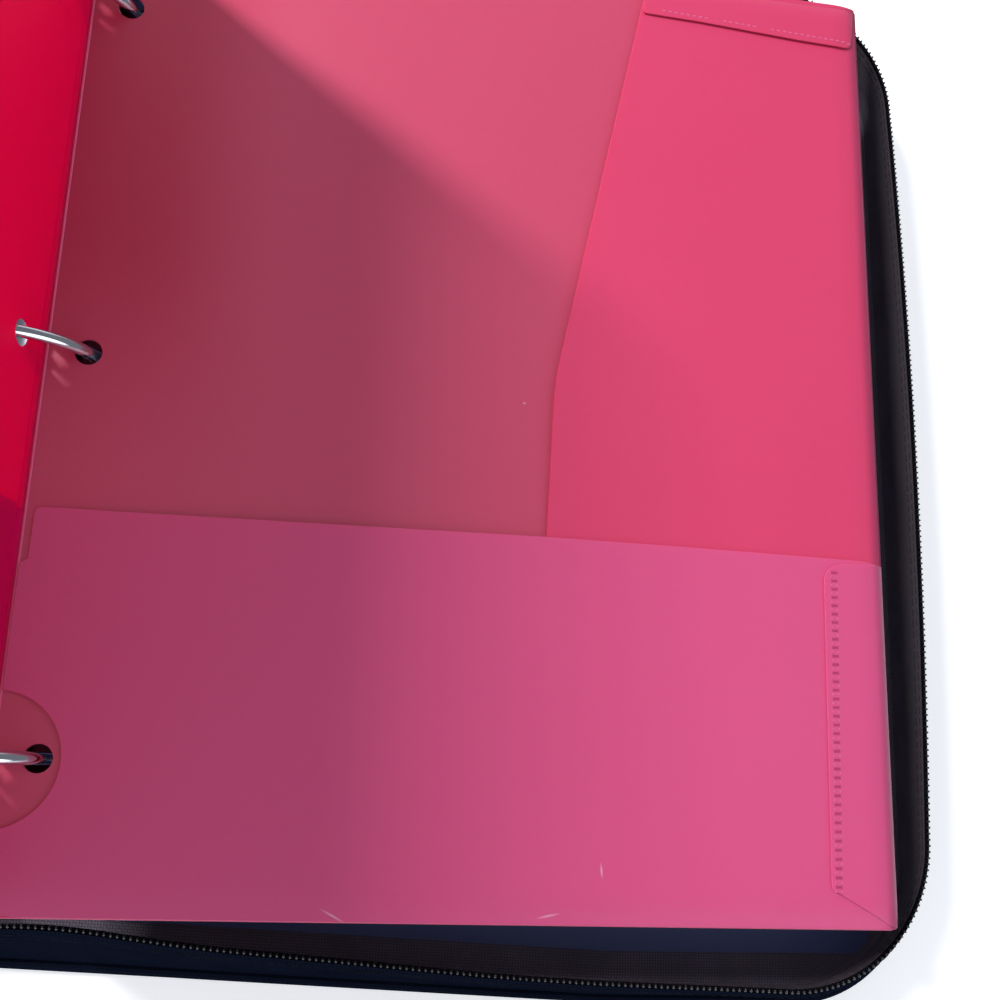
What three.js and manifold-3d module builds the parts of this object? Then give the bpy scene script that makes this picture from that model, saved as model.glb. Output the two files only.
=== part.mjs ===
// Zip-round ring binder lying open, with a four-pocket plastic folder on its rings.
// Units are millimetres, +Z is up, and the origin is the middle of the spine's underside.
// The back cover lies towards +X, the front cover towards -X, the head towards +Y.

import * as THREE from 'three';
import { mergeVertices } from 'three/addons/utils/BufferGeometryUtils.js';
import Module from 'manifold-3d';

const wasm = await Module();
wasm.setup();

// Running gap kept between separate pieces
const GAP = 0.3;

// Case: sheets of a cover, and the fabric hinges beside the spine
const SPINE_WIDTH = 64;
const HINGE_R = 1.6;
const HINGE_CLEARANCE = 0.6;
const SKIN = 1.2;
const BOARD = 1.5;
const LINER = 0.5;
const BOARD_MARGIN = 8;
const LINER_MARGIN = 9.2;
const LINER_CORNER = 5;
const SPINE_END_MARGIN = 3;

// Case: the soft wall that stands on a cover, from its foot line to the zip's mouth line
const FOOT_REACH = 306.5;
const FOOT_FROM_HOUSING = 25.2;
const FOOT_CORNER = 24;
const MOUTH_INSET = 2.5;
const MOUTH_LEAN = 3.4;
const MOUTH_CORNER = 38;
const MOUTH_TAPER = 0.0585;
const WALL_START = 4;
const WALL = 1.6;
const WALL_BULGE = 6;
const WALL_CURVE = 1.7;
const PIPING_R = 1.2;

// Zip: tape, coil and end stops
const COIL_HEIGHT = 1.55;
const COIL_WIDTH = 2.2;
const TAPE = 0.8;
const TAPE_WIDTH = 15;
const TAPE_SHOW = 2;
const STOP_LENGTH = 2.4;
const STOP_WIDTH = 3;
const FRONT_ZIP_START = 22;

// Zip: sliders and pulls, parked near the spine
const SLIDER_PARK = 14;
const SLIDER_LENGTH = 11;
const SLIDER_NOSE = 6;
const SLIDER_PLATE = 1.2;
const SLIDER_HALF_HEIGHT = 3.3;
const SLIDER_CHANNEL = 0.4;
const CROWN_LENGTH = 7.2;
const CROWN_BAR = 1.2;
const CROWN_RISE = 2;
const PULL_LENGTH = 24;
const PULL_WIDTH = 7.5;
const PULL_NECK = 4;
const PULL_THICKNESS = 1.4;
const PULL_EYE = 1;
const PULL_HOLE_R = 1.6;
const PULL_TILT = THREE.MathUtils.degToRad(26);

// Ring mechanism
const RING_R = 27.1;
const WIRE_R = 1.68;
const RING_PITCH = 107.95;
const RING_COUNT = 3;
const RING_FROM_HINGE = 31.9;
const RING_BED = 1.35;
const RING_Y = 3.7;
const WIRE_INNER = 3.5;
const HOUSING_END = 30.55;
const HOUSING_WIDTH = 21;
const HOUSING_RISE = 9.2;
const HOUSING_WALL = 1;
const SLOT_INNER = 4.5;
const BLADE_END_GAP = 1;
const BLADE_EDGE = 8.2;
const BLADE = 1.2;
const BLADE_LIFT = 3.4;
const RIVET_SHANK_R = 2;
const RIVET_HEAD_R = 4;
const RIVET_HEAD = 1.6;
const RIVET_NOTCH = 1;
const LEVER_FROM_END = 3.5;
const LEVER_WIDTH = 12;
const LEVER = 1.4;
const LEVER_REACH = 11;
const LEVER_RISE = 9;
const LEVER_HEEL = 3;
const TRUNNION_R = 0.8;

// Folder: one folded sheet with pockets, hung on the rings
const SHEET = 0.5;
const LAYER_GAP = 0.25;
const FOLD_FROM_RING = 13.1;
const PAGE_LIFT = 13.37;
const FOLD_RAISE = 1.9;
const FOLD_EDGE = 0.4;
const LEAF_ANGLE = THREE.MathUtils.degToRad(77);
const PANEL_WIDTH = 238;
const PANEL_FOOT = 145.5;
const PANEL_HEAD = 140.6;
const PANEL_CORNER = 2;
const HOLE_R = 3.6;
const PANEL_HOLE_EDGE = 10.6;
const LEAF_HOLE_EDGE = 10;
const POCKET_TOP = -44.2;
const POCKET_NOTCH_WIDTH = 15;
const POCKET_NOTCH_DEPTH = 16;
const POCKET_CUTOUT_R = 18;
const SIDE_POCKET_TOP_X = 167.2;
const SIDE_POCKET_BEND_X = 139.3;
const SIDE_POCKET_BEND_Y = 0.5;
const SIDE_POCKET_SOFTNESS = 9;
const SIDE_POCKET_FOOT_X = 137;
const SIDE_POCKET_FOOT_Y = -90;
const TOP_TAB_START = 160;
const TOP_TAB_DEPTH = 14;
const TOP_TAB_RISE = 3;
const TOP_TAB_CORNER = 4;
const WELD_TAB_WIDTH = 19.4;
const WELD_TAB_HEAD = -46.3;
const WELD_TAB_BEND = -134;
const WELD_TAB_CORNER = 3.5;

// Facets: steps on the straight and rounded stretches of a wall, on round wire and on holes
const RUN_STEPS = 4;
const CORNER_STEPS = 7;
const WALL_LEVELS = 5;
const WIRE_SIDES = 10;
const RING_STEPS = 20;
const HOLE_SIDES = 20;

// Lengths along the spine that follow from the rings' pitch
const HOUSING_LENGTH = (RING_COUNT - 1) * RING_PITCH + 2 * HOUSING_END;
const BLADE_LENGTH = HOUSING_LENGTH - 2 * (LEVER_FROM_END + LEVER_HEEL + BLADE_END_GAP);
const FOOT_HALF = HOUSING_LENGTH / 2 + FOOT_FROM_HOUSING;
const MOUTH_HALF = FOOT_HALF - MOUTH_LEAN;

// Heights and places that follow from the sizes above
const HINGE_X = SPINE_WIDTH / 2;
const BOARD_BASE = SKIN + GAP;
const LINER_BASE = BOARD_BASE + BOARD + GAP;
const LINER_TOP = LINER_BASE + LINER;
const WALL_FOOT = SKIN + GAP;
const MOUTH_Z = HINGE_R + SPINE_WIDTH / 2;
const COIL_TOP = MOUTH_Z - GAP / 2;
const COIL_BASE = COIL_TOP - COIL_HEIGHT;
const TAPE_TOP = COIL_BASE - GAP;
const WALL_TOP = TAPE_TOP - TAPE_SHOW;
const WALL_INNER = TAPE / 2 + GAP;
const WALL_OUTER = WALL_INNER + WALL;
const PIPING_OFFSET = WALL_OUTER + GAP + PIPING_R + WALL_BULGE / 16;
const COVER_HALF = FOOT_HALF + PIPING_OFFSET + PIPING_R;
const COVER_REACH = HINGE_X + FOOT_REACH + PIPING_OFFSET + PIPING_R;
const COVER_CORNER = FOOT_CORNER + PIPING_OFFSET + PIPING_R;
const PLATE_START = HINGE_X + HINGE_R + HINGE_CLEARANCE;
const PLATE_END = HINGE_X - HINGE_R - HINGE_CLEARANCE;
const MOUTH_REACH = HINGE_X + FOOT_REACH - MOUTH_INSET;
const RING_X = HINGE_X + RING_FROM_HINGE;
const RING_Z = LINER_TOP + RING_BED + WIRE_R + RING_R;
const HOUSING_BASE = LINER_TOP + GAP;
const HOUSING_TOP = HOUSING_BASE + HOUSING_RISE;
const BLADE_Z = LINER_TOP + BLADE_LIFT;
const RIVET_Y = RING_PITCH / 2;
const FOLD_X = RING_X + FOLD_FROM_RING;
const PAGE_Z = RING_Z + PAGE_LIFT;

const finish = (color, roughness, metalness = 0) =>
  new THREE.MeshStandardMaterial({ color, roughness, metalness });

const FABRIC = finish(0x20222a, 0.95);
const BINDING = finish(0x15161a, 0.9);
const GREYBOARD = finish(0x8c8577, 0.95);
const VINYL = finish(0x2d3350, 0.45);
const TAPE_CLOTH = finish(0x2b2529, 0.9);
const NYLON = finish(0x17171b, 0.5);
const CHROME = finish(0xd8dade, 0.12, 1);
const ZINC = finish(0x3a3b40, 0.35, 1);
const PINK_FILM = finish(0xdc4870, 0.4);
const RED_FILM = finish(0xc0003a, 0.4);

/** A closed mesh, with only its positions kept, as a solid that can be joined or cut. */
function solid(geometry) {
  const bare = geometry.clone();
  bare.deleteAttribute('normal');
  bare.deleteAttribute('uv');
  const merged = mergeVertices(bare);
  return new wasm.Manifold(new wasm.Mesh({
    numProp: 3,
    vertProperties: new Float32Array(merged.attributes.position.array),
    triVerts: new Uint32Array(merged.index.array),
  }));
}

/** The surface of a solid as a geometry. */
function surface(body) {
  const { vertProperties, triVerts } = body.getMesh();
  const geometry = new THREE.BufferGeometry();
  geometry.setAttribute('position', new THREE.BufferAttribute(vertProperties, 3));
  geometry.setIndex(new THREE.BufferAttribute(triVerts, 1));
  geometry.computeVertexNormals();
  return geometry;
}

/** A named piece of the object. */
function piece(name, geometry, material) {
  const mesh = new THREE.Mesh(geometry, material);
  mesh.name = name;
  return mesh;
}

/** A group of pieces, moved and turned as one. */
function assembly(children, { at = [0, 0, 0], turn = [0, 0, 0] } = {}) {
  const group = new THREE.Group();
  group.add(...children);
  group.position.set(...at);
  group.rotation.set(...turn);
  return group;
}

/** A box between two corners. */
function block([x0, y0, z0], [x1, y1, z1]) {
  const box = new THREE.BoxGeometry(x1 - x0, y1 - y0, z1 - z0);
  return box.translate((x0 + x1) / 2, (y0 + y1) / 2, (z0 + z1) / 2);
}

/** An outline as a flat plate that lies on a height. */
function plate(shape, base, thickness, curveSegments = CORNER_STEPS) {
  const options = { depth: thickness, bevelEnabled: false, curveSegments };
  return new THREE.ExtrudeGeometry(shape, options).translate(0, 0, base);
}

/** An outline in X and Z, extruded along Y about the origin. */
function prismAlongY(shape, length) {
  const options = { depth: length, bevelEnabled: false, curveSegments: HOLE_SIDES / 2 };
  const geometry = new THREE.ExtrudeGeometry(shape, options);
  return geometry.rotateX(Math.PI / 2).translate(0, length / 2, 0);
}

/** An outline in Y and Z, extruded along X about the origin. */
function prismAlongX(shape, length) {
  const options = { depth: length, bevelEnabled: false, curveSegments: HOLE_SIDES / 2 };
  const geometry = new THREE.ExtrudeGeometry(shape, options).translate(0, 0, -length / 2);
  return geometry.rotateY(Math.PI / 2).rotateX(Math.PI / 2);
}

/** The corners of a regular polygon that stands for a circle. */
function roundPoints(x, y, radius, sides) {
  return Array.from({ length: sides }, (_, i) => {
    const angle = (2 * Math.PI * i) / sides;
    return new THREE.Vector2(x + radius * Math.cos(angle), y + radius * Math.sin(angle));
  });
}

const round = (x, y, radius, sides = HOLE_SIDES) =>
  new THREE.Shape(roundPoints(x, y, radius, sides));
const roundHole = (x, y, radius, sides = HOLE_SIDES) =>
  new THREE.Path(roundPoints(x, y, radius, sides));

/** A rectangle from x0 to x1 and -half to half with its corners at x1 rounded. */
function coverShape(x0, x1, half, radius, nearRadius = 0) {
  const shape = new THREE.Shape();
  shape.moveTo(x0 + nearRadius, -half);
  shape.lineTo(x1 - radius, -half);
  shape.absarc(x1 - radius, -half + radius, radius, -Math.PI / 2, 0);
  shape.lineTo(x1, half - radius);
  shape.absarc(x1 - radius, half - radius, radius, 0, Math.PI / 2);
  shape.lineTo(x0 + nearRadius, half);
  if (nearRadius > 0) {
    shape.absarc(x0 + nearRadius, half - nearRadius, nearRadius, Math.PI / 2, Math.PI);
    shape.lineTo(x0, -half + nearRadius);
    shape.absarc(x0 + nearRadius, -half + nearRadius, nearRadius, Math.PI, 1.5 * Math.PI);
  } else {
    shape.lineTo(x0, half);
    shape.lineTo(x0, -half);
  }
  return shape;
}

/** Stations of a U-shaped line with outward normals: foot run, fore edge and head run. */
function uLine({ start, reach, half, radius, taper = 0 }) {
  const bendX = reach - radius;
  const bendY = half - radius;
  const stations = [];
  const add = (x, y, nx, ny) => {
    const length = Math.hypot(nx, ny);
    stations.push({ x, y, nx: nx / length, ny: ny / length });
  };
  const run = (x, side) => add(x, side * (half - (bendX - x) * taper), -taper, side);
  const corner = (side, from, k) => {
    const angle = from + (Math.PI / 2) * (k / CORNER_STEPS);
    const [nx, ny] = [Math.cos(angle), Math.sin(angle)];
    add(bendX + radius * nx, side * bendY + radius * ny, nx, ny);
  };
  for (let k = 0; k < RUN_STEPS; k++) run(start + (bendX - start) * (k / RUN_STEPS), -1);
  for (let k = 0; k <= CORNER_STEPS; k++) corner(-1, -Math.PI / 2, k);
  for (let k = 1; k < RUN_STEPS; k++) add(reach, bendY * (2 * k / RUN_STEPS - 1), 1, 0);
  for (let k = 0; k <= CORNER_STEPS; k++) corner(1, 0, k);
  for (let k = 1; k <= RUN_STEPS; k++) run(bendX + (start - bendX) * (k / RUN_STEPS), 1);
  return stations;
}

/** The leaning wall surface from a given distance past the hinge: place(station, z, out). */
function wallSurface(startPastHinge) {
  const start = HINGE_X + startPastHinge;
  const foot = uLine({
    start, reach: HINGE_X + FOOT_REACH, half: FOOT_HALF, radius: FOOT_CORNER,
  });
  const mouth = uLine({
    start, reach: MOUTH_REACH, half: MOUTH_HALF, radius: MOUTH_CORNER, taper: MOUTH_TAPER,
  });
  const steps = foot.length - 1;
  const place = (station, z, out) => {
    const rise = (z - WALL_FOOT) / (MOUTH_Z - WALL_FOOT);
    const lean = 1 - (1 - rise) ** WALL_CURVE;
    const [a, b] = [foot[station], mouth[station]];
    const mix = (key) => a[key] + (b[key] - a[key]) * lean;
    const [nx, ny] = [mix('nx'), mix('ny')];
    const length = Math.hypot(nx, ny);
    const reach = out + WALL_BULGE * rise * (1 - rise) ** 2;
    return [mix('x') + (reach * nx) / length, mix('y') + (reach * ny) / length, z];
  };
  return { steps, place };
}

/** Moves every vertex of a geometry by a rule. */
function bent(geometry, rule) {
  const position = geometry.attributes.position;
  for (let i = 0; i < position.count; i++) {
    position.setXYZ(i, ...rule(position.getX(i), position.getY(i), position.getZ(i)));
  }
  geometry.computeVertexNormals();
  return geometry;
}

/** A band of the wall between two heights and two offsets from its middle surface. */
function wallBand(start, [z0, z1], [inner, outer], levels) {
  const { steps, place } = wallSurface(start);
  const band = new THREE.BoxGeometry(1, 1, 1, steps, 1, levels);
  return bent(band, (x, y, z) => place(
    Math.round((x + 0.5) * steps),
    z0 + (z1 - z0) * (z + 0.5),
    outer + (inner - outer) * (y + 0.5),
  ));
}

/** The round piping sewn along the wall's foot. */
function pipingGeometry() {
  const { steps, place } = wallSurface(WALL_START);
  const rod = new THREE.CylinderGeometry(PIPING_R, PIPING_R, 1, WIRE_SIDES - 2, steps);
  return bent(rod, (x, y, z) => {
    const [px, py] = place(Math.round((y + 0.5) * steps), WALL_FOOT, PIPING_OFFSET + x);
    return [px, py, WALL_FOOT + PIPING_R + z];
  });
}

/** An end stop clamped over the coil's last stretch on the foot run or the head run. */
function stopGeometry(side, start) {
  const y = side * (MOUTH_HALF - (MOUTH_REACH - MOUTH_CORNER - HINGE_X - start) * MOUTH_TAPER);
  const x = HINGE_X + start;
  return block(
    [x, y - STOP_WIDTH / 2, COIL_BASE], [x + STOP_LENGTH, y + STOP_WIDTH / 2, COIL_TOP]);
}

/** The nine pieces of one cover; the front one is the back one turned half round. */
function cover(name, zipStart) {
  const rivets = name === 'back'
    ? [-1, 1].map((side) => [RING_X, RING_Y + side * RIVET_Y])
    : [];
  const bored = (shape) => {
    rivets.forEach(([x, y]) => shape.holes.push(roundHole(x, y, RIVET_SHANK_R + GAP)));
    return shape;
  };
  const headSide = name === 'back' ? 1 : -1;
  const footReach = HINGE_X + FOOT_REACH;
  const outer = coverShape(PLATE_START, COVER_REACH, COVER_HALF, COVER_CORNER);
  const board = bored(coverShape(PLATE_START + GAP, footReach - BOARD_MARGIN,
    FOOT_HALF - BOARD_MARGIN, FOOT_CORNER - BOARD_MARGIN));
  const liner = bored(coverShape(PLATE_START + WALL_START, footReach - LINER_MARGIN - WALL,
    FOOT_HALF - LINER_MARGIN, LINER_CORNER, LINER_CORNER));
  const coilStart = zipStart + STOP_LENGTH + GAP;
  const coil = [-COIL_WIDTH / 2, COIL_WIDTH / 2];
  return [
    piece(`${name}_outer_panel`, plate(outer, 0, SKIN), FABRIC),
    piece(`${name}_board`, plate(board, BOARD_BASE, BOARD), GREYBOARD),
    piece(`${name}_liner`, plate(liner, LINER_BASE, LINER), VINYL),
    piece(`${name}_wall`, wallBand(WALL_START, [WALL_FOOT, WALL_TOP],
      [WALL_INNER, WALL_OUTER], WALL_LEVELS), FABRIC),
    piece(`${name}_zip_tape`, wallBand(zipStart, [TAPE_TOP - TAPE_WIDTH, TAPE_TOP],
      [-TAPE / 2, TAPE / 2], WALL_LEVELS - 1), TAPE_CLOTH),
    piece(`${name}_zip_coil`, wallBand(coilStart, [COIL_BASE, COIL_TOP], coil, 1), NYLON),
    piece(`${name}_piping`, pipingGeometry(), BINDING),
    piece(`${name}_foot_stop`, stopGeometry(-headSide, zipStart), ZINC),
    piece(`${name}_head_stop`, stopGeometry(headSide, zipStart), ZINC),
  ];
}

/** The spine's three sheets and the fabric hinges on either side of it. */
function spine() {
  const half = COVER_HALF - SPINE_END_MARGIN;
  const sheet = (x, y, base, thickness) => block([-x, -y, base], [x, y, base + thickness]);
  const hinge = () => {
    const rod = new THREE.CylinderGeometry(HINGE_R, HINGE_R, 2 * half, WIRE_SIDES + 2);
    return rod.translate(0, 0, 0);
  };
  const hingeAt = (name, x) => {
    const mesh = piece(name, hinge(), FABRIC);
    mesh.position.set(x, 0, HINGE_R);
    return mesh;
  };
  return [
    piece('spine_outer_panel', sheet(PLATE_END, half, 0, SKIN), FABRIC),
    piece('spine_board', sheet(PLATE_END - GAP, half - BOARD_MARGIN / 2, BOARD_BASE, BOARD),
      GREYBOARD),
    piece('spine_liner', sheet(PLATE_END - GAP, half - BOARD_MARGIN / 2, LINER_BASE, LINER),
      VINYL),
    hingeAt('back_hinge', HINGE_X),
    hingeAt('front_hinge', -HINGE_X),
  ];
}

/** The centre line of a half ring, in the X-Z plane about the ring's centre. */
class HalfRing extends THREE.Curve {
  constructor(side, inner) {
    super();
    this.side = side;
    this.from = Math.asin(inner / RING_R) - Math.PI / 2;
    this.to = Math.PI / 2 - GAP / 2 / RING_R;
  }

  getPoint(t, target = new THREE.Vector3()) {
    const angle = this.from + (this.to - this.from) * t;
    return target.set(this.side * RING_R * Math.cos(angle), 0, RING_R * Math.sin(angle));
  }
}

/** Half a ring of wire, or the fatter tube that clears it. */
function halfRing(side, radius, inner) {
  return new THREE.ExtrudeGeometry(round(0, 0, radius, WIRE_SIDES), {
    steps: RING_STEPS, bevelEnabled: false, extrudePath: new HalfRing(side, inner),
  });
}

/** One arched blade plate, notched round its ring wires and round the rivets. */
function bladeGeometry(side) {
  const [near, far] = [GAP * side, BLADE_EDGE * side].sort((a, b) => a - b);
  let blade = solid(block([near, -BLADE_LENGTH / 2, BLADE_Z - BLADE / 2],
    [far, BLADE_LENGTH / 2, BLADE_Z + BLADE / 2]));
  for (const y of ringPlaces()) {
    const tube = halfRing(side, WIRE_R + GAP, WIRE_INNER - GAP).translate(0, y, RING_Z);
    blade = blade.subtract(solid(tube));
  }
  for (const y of [-RIVET_Y, RIVET_Y]) {
    const notch = plate(round(0, y, RIVET_SHANK_R + RIVET_NOTCH), BLADE_Z - BLADE, 2 * BLADE);
    blade = blade.subtract(solid(notch));
  }
  return surface(blade);
}

/** The rings' places along the spine, about the middle one. */
function ringPlaces() {
  return Array.from({ length: RING_COUNT },
    (_, i) => (i - (RING_COUNT - 1) / 2) * RING_PITCH);
}

/** The arched housing with slots for the rings and holes for the rivets. */
function housingGeometry() {
  const half = HOUSING_WIDTH / 2;
  const arch = new THREE.Shape();
  arch.absellipse(0, HOUSING_BASE, half, HOUSING_RISE, 0, Math.PI);
  arch.lineTo(-half + HOUSING_WALL, HOUSING_BASE);
  arch.absellipse(0, HOUSING_BASE, half - HOUSING_WALL, HOUSING_RISE - HOUSING_WALL,
    Math.PI, 0, true);
  let housing = solid(prismAlongY(arch, HOUSING_LENGTH));
  const slotHalf = WIRE_R + GAP;
  for (const y of ringPlaces()) {
    for (const side of [-1, 1]) {
      const [x0, x1] = [side * SLOT_INNER, side * HOUSING_WIDTH].sort((a, b) => a - b);
      housing = housing.subtract(solid(block(
        [x0, y - slotHalf, 0], [x1, y + slotHalf, 2 * HOUSING_TOP])));
    }
  }
  for (const y of [-RIVET_Y, RIVET_Y]) {
    const hole = plate(round(0, y, RIVET_SHANK_R + GAP), HOUSING_BASE, 2 * HOUSING_RISE);
    housing = housing.subtract(solid(hole));
  }
  return surface(housing);
}

/** A rivet from the board's hole up to its domed head on the housing's crown. */
function rivetGeometry() {
  const head = HOUSING_TOP + GAP;
  const profile = [
    [0, BOARD_BASE], [RIVET_SHANK_R, BOARD_BASE], [RIVET_SHANK_R, head], [RIVET_HEAD_R, head],
    [RIVET_HEAD_R, head + RIVET_HEAD / 4], [RIVET_HEAD_R * 0.7, head + RIVET_HEAD * 0.8],
    [0, head + RIVET_HEAD],
  ].map(([x, y]) => new THREE.Vector2(x, y));
  return new THREE.LatheGeometry(profile, WIRE_SIDES + 2).rotateX(Math.PI / 2);
}

/** A finger lever about its trunnions, reaching outwards along Y to the given side. */
function leverGeometry(side) {
  const half = LEVER / 2;
  const knee = LEVER_HEEL;
  const outline = [
    [-LEVER_HEEL, -half], [knee, -half], [LEVER_REACH - half, LEVER_RISE * 0.4],
    [LEVER_REACH, LEVER_RISE], [LEVER_REACH - LEVER, LEVER_RISE],
    [LEVER_REACH - 1.2 * LEVER, LEVER_RISE * 0.5], [knee - half, half], [-LEVER_HEEL, half],
  ].map(([y, z]) => new THREE.Vector2(side * y, z));
  const trunnion = prismAlongX(round(0, 0, TRUNNION_R, WIRE_SIDES), 2 * BLADE_EDGE);
  const paddle = prismAlongX(new THREE.Shape(outline), LEVER_WIDTH);
  return surface(solid(paddle).add(solid(trunnion)));
}

/** The housing, rivets, blades, half rings and levers of the ring mechanism. */
function ringMechanism() {
  const parts = [piece('ring_housing', housingGeometry(), CHROME)];
  for (const [end, side] of [['foot', -1], ['head', 1]]) {
    const rivet = piece(`${end}_rivet`, rivetGeometry(), CHROME);
    rivet.position.set(0, side * RIVET_Y, 0);
    const lever = piece(`${end}_lever`, leverGeometry(side), CHROME);
    lever.position.set(0, side * (HOUSING_LENGTH / 2 - LEVER_FROM_END), BLADE_Z);
    parts.push(rivet, lever);
  }
  for (const [hand, side] of [['left', -1], ['right', 1]]) {
    parts.push(piece(`${hand}_blade`, bladeGeometry(side), CHROME));
    ringPlaces().forEach((y, i) => {
      const name = `${hand}_ring_${['foot', 'middle', 'head'][i] ?? i}`;
      const ring = piece(name, halfRing(side, WIRE_R, WIRE_INNER), CHROME);
      ring.position.set(0, y, RING_Z);
      parts.push(ring);
    });
  }
  return assembly(parts, { at: [RING_X, RING_Y, 0] });
}

/** A slider's body: two plates round the coils, the post between them and the crown. */
function sliderGeometry(side) {
  const span = (y0, y1) => [side * y0, side * y1].sort((a, b) => a - b);
  const inner = COIL_WIDTH / 2 + SLIDER_CHANNEL;
  const outer = inner + SLIDER_PLATE;
  const [back, front] = [-SLIDER_LENGTH / 2, SLIDER_LENGTH / 2];
  const [low, high] = [MOUTH_Z - SLIDER_HALF_HEIGHT, MOUTH_Z + SLIDER_HALF_HEIGHT];
  const nose = (SLIDER_HALF_HEIGHT * 2 - SLIDER_NOSE) / 2 + 1;
  const outline = new THREE.Shape();
  outline.moveTo(back, low + nose);
  outline.quadraticCurveTo(back, low, back + SLIDER_NOSE / 2, low);
  outline.lineTo(front, low);
  outline.lineTo(front, high);
  outline.lineTo(back + SLIDER_NOSE / 2, high);
  outline.quadraticCurveTo(back, high, back, high - nose);
  const plateAt = (y0, y1) => {
    const [a, b] = span(y0, y1);
    return solid(prismAlongY(outline, b - a).translate(0, (a + b) / 2, 0));
  };
  const bar = outer + CROWN_RISE;
  const boxAt = (x0, x1, y0, y1, z0, z1) => {
    const [a, b] = span(y0, y1);
    return solid(block([x0, a, z0], [x1, b, z1]));
  };
  const [barLow, barHigh] = [MOUTH_Z - CROWN_BAR / 2, MOUTH_Z + CROWN_BAR / 2];
  let body = plateAt(inner, outer).add(plateAt(-outer, -inner));
  body = body.add(boxAt(back + GAP, back + SLIDER_NOSE / 2, -outer + GAP, outer - GAP,
    COIL_TOP + GAP, high - GAP));
  for (const end of [-1, 1]) {
    const x = (end * (CROWN_LENGTH - CROWN_BAR)) / 2;
    body = body.add(boxAt(x - CROWN_BAR / 2, x + CROWN_BAR / 2, outer - GAP, bar + CROWN_BAR,
      barLow, barHigh));
  }
  body = body.add(boxAt(-CROWN_LENGTH / 2, CROWN_LENGTH / 2, bar, bar + CROWN_BAR,
    barLow, barHigh));
  return surface(body);
}

/** A pull tab about its eye, hanging down. */
function pullGeometry() {
  const hole = (CROWN_BAR / 2) * Math.SQRT2 + GAP;
  const eye = round(0, 0, hole + PULL_EYE);
  const neck = PULL_NECK / 2;
  const half = PULL_WIDTH / 2;
  const tab = new THREE.Shape();
  tab.moveTo(-neck, -hole - PULL_EYE / 2);
  tab.lineTo(-neck, -PULL_LENGTH * 0.3);
  tab.quadraticCurveTo(-half, -PULL_LENGTH * 0.4, -half, -PULL_LENGTH * 0.6);
  tab.lineTo(-half, -PULL_LENGTH + half);
  tab.absarc(0, -PULL_LENGTH + half, half, Math.PI, 2 * Math.PI);
  tab.lineTo(half, -PULL_LENGTH * 0.6);
  tab.quadraticCurveTo(half, -PULL_LENGTH * 0.4, neck, -PULL_LENGTH * 0.3);
  tab.lineTo(neck, -hole - PULL_EYE / 2);
  tab.holes.push(roundHole(0, -PULL_LENGTH + half, PULL_HOLE_R));
  const width = CROWN_LENGTH - 2 * CROWN_BAR - 2 * GAP;
  const body = solid(prismAlongX(eye, Math.min(width, PULL_NECK)))
    .add(solid(prismAlongY(tab, PULL_THICKNESS)))
    .subtract(solid(prismAlongX(round(0, 0, hole), 2 * PULL_WIDTH)));
  return surface(body);
}

/** A slider parked by the spine on the foot run or the head run, with its pull. */
function slider(name, side) {
  const bend = MOUTH_REACH - MOUTH_CORNER;
  const x = HINGE_X + SLIDER_PARK;
  const y = side * (MOUTH_HALF - (bend - x) * MOUTH_TAPER);
  const crown = COIL_WIDTH / 2 + SLIDER_CHANNEL + SLIDER_PLATE + CROWN_RISE + CROWN_BAR / 2;
  const pull = assembly([piece(`${name}_pull`, pullGeometry(), ZINC)], {
    at: [0, side * crown, MOUTH_Z], turn: [side * PULL_TILT, 0, 0],
  });
  return assembly([piece(`${name}_slider`, sliderGeometry(side), ZINC), pull], {
    at: [x, y, 0], turn: [0, 0, side * Math.atan(MOUTH_TAPER)],
  });
}

/** The folded bottom flap, open at the fold round the foot ring. */
function bottomPocket(side) {
  const flap = new THREE.Shape();
  const near = side * FOLD_EDGE;
  const far = side * (PANEL_WIDTH - FOLD_EDGE);
  const dip = Math.sqrt(POCKET_CUTOUT_R ** 2 - FOLD_EDGE ** 2);
  const start = Math.atan2(-dip, near);
  flap.moveTo(near, -PANEL_FOOT);
  flap.lineTo(near, -RING_PITCH - dip);
  flap.absarc(0, -RING_PITCH, POCKET_CUTOUT_R, start, -start, side < 0);
  flap.lineTo(near, POCKET_TOP - POCKET_NOTCH_DEPTH);
  flap.quadraticCurveTo(side * FOLD_EDGE * 5, POCKET_TOP, side * POCKET_NOTCH_WIDTH, POCKET_TOP);
  flap.lineTo(far - side * POCKET_NOTCH_WIDTH / 2, POCKET_TOP);
  flap.lineTo(far, POCKET_TOP - 2);
  flap.lineTo(far, -PANEL_FOOT);
  return flap;
}

/** The side pocket, folded in from the fore edge and running down behind the flap. */
function sidePocket(side) {
  const flap = new THREE.Shape();
  const far = side * (PANEL_WIDTH - FOLD_EDGE);
  const head = PANEL_HEAD - FOLD_EDGE;
  const slope = (SIDE_POCKET_TOP_X - SIDE_POCKET_BEND_X) / (head - SIDE_POCKET_BEND_Y);
  const soft = SIDE_POCKET_SOFTNESS;
  flap.moveTo(far, SIDE_POCKET_FOOT_Y);
  flap.lineTo(far, head);
  flap.lineTo(side * SIDE_POCKET_TOP_X, head);
  flap.lineTo(side * (SIDE_POCKET_BEND_X + slope * soft), SIDE_POCKET_BEND_Y + soft);
  flap.quadraticCurveTo(side * SIDE_POCKET_BEND_X, SIDE_POCKET_BEND_Y,
    side * SIDE_POCKET_BEND_X, SIDE_POCKET_BEND_Y - soft);
  flap.lineTo(side * SIDE_POCKET_FOOT_X, SIDE_POCKET_FOOT_Y);
  return flap;
}

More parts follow.
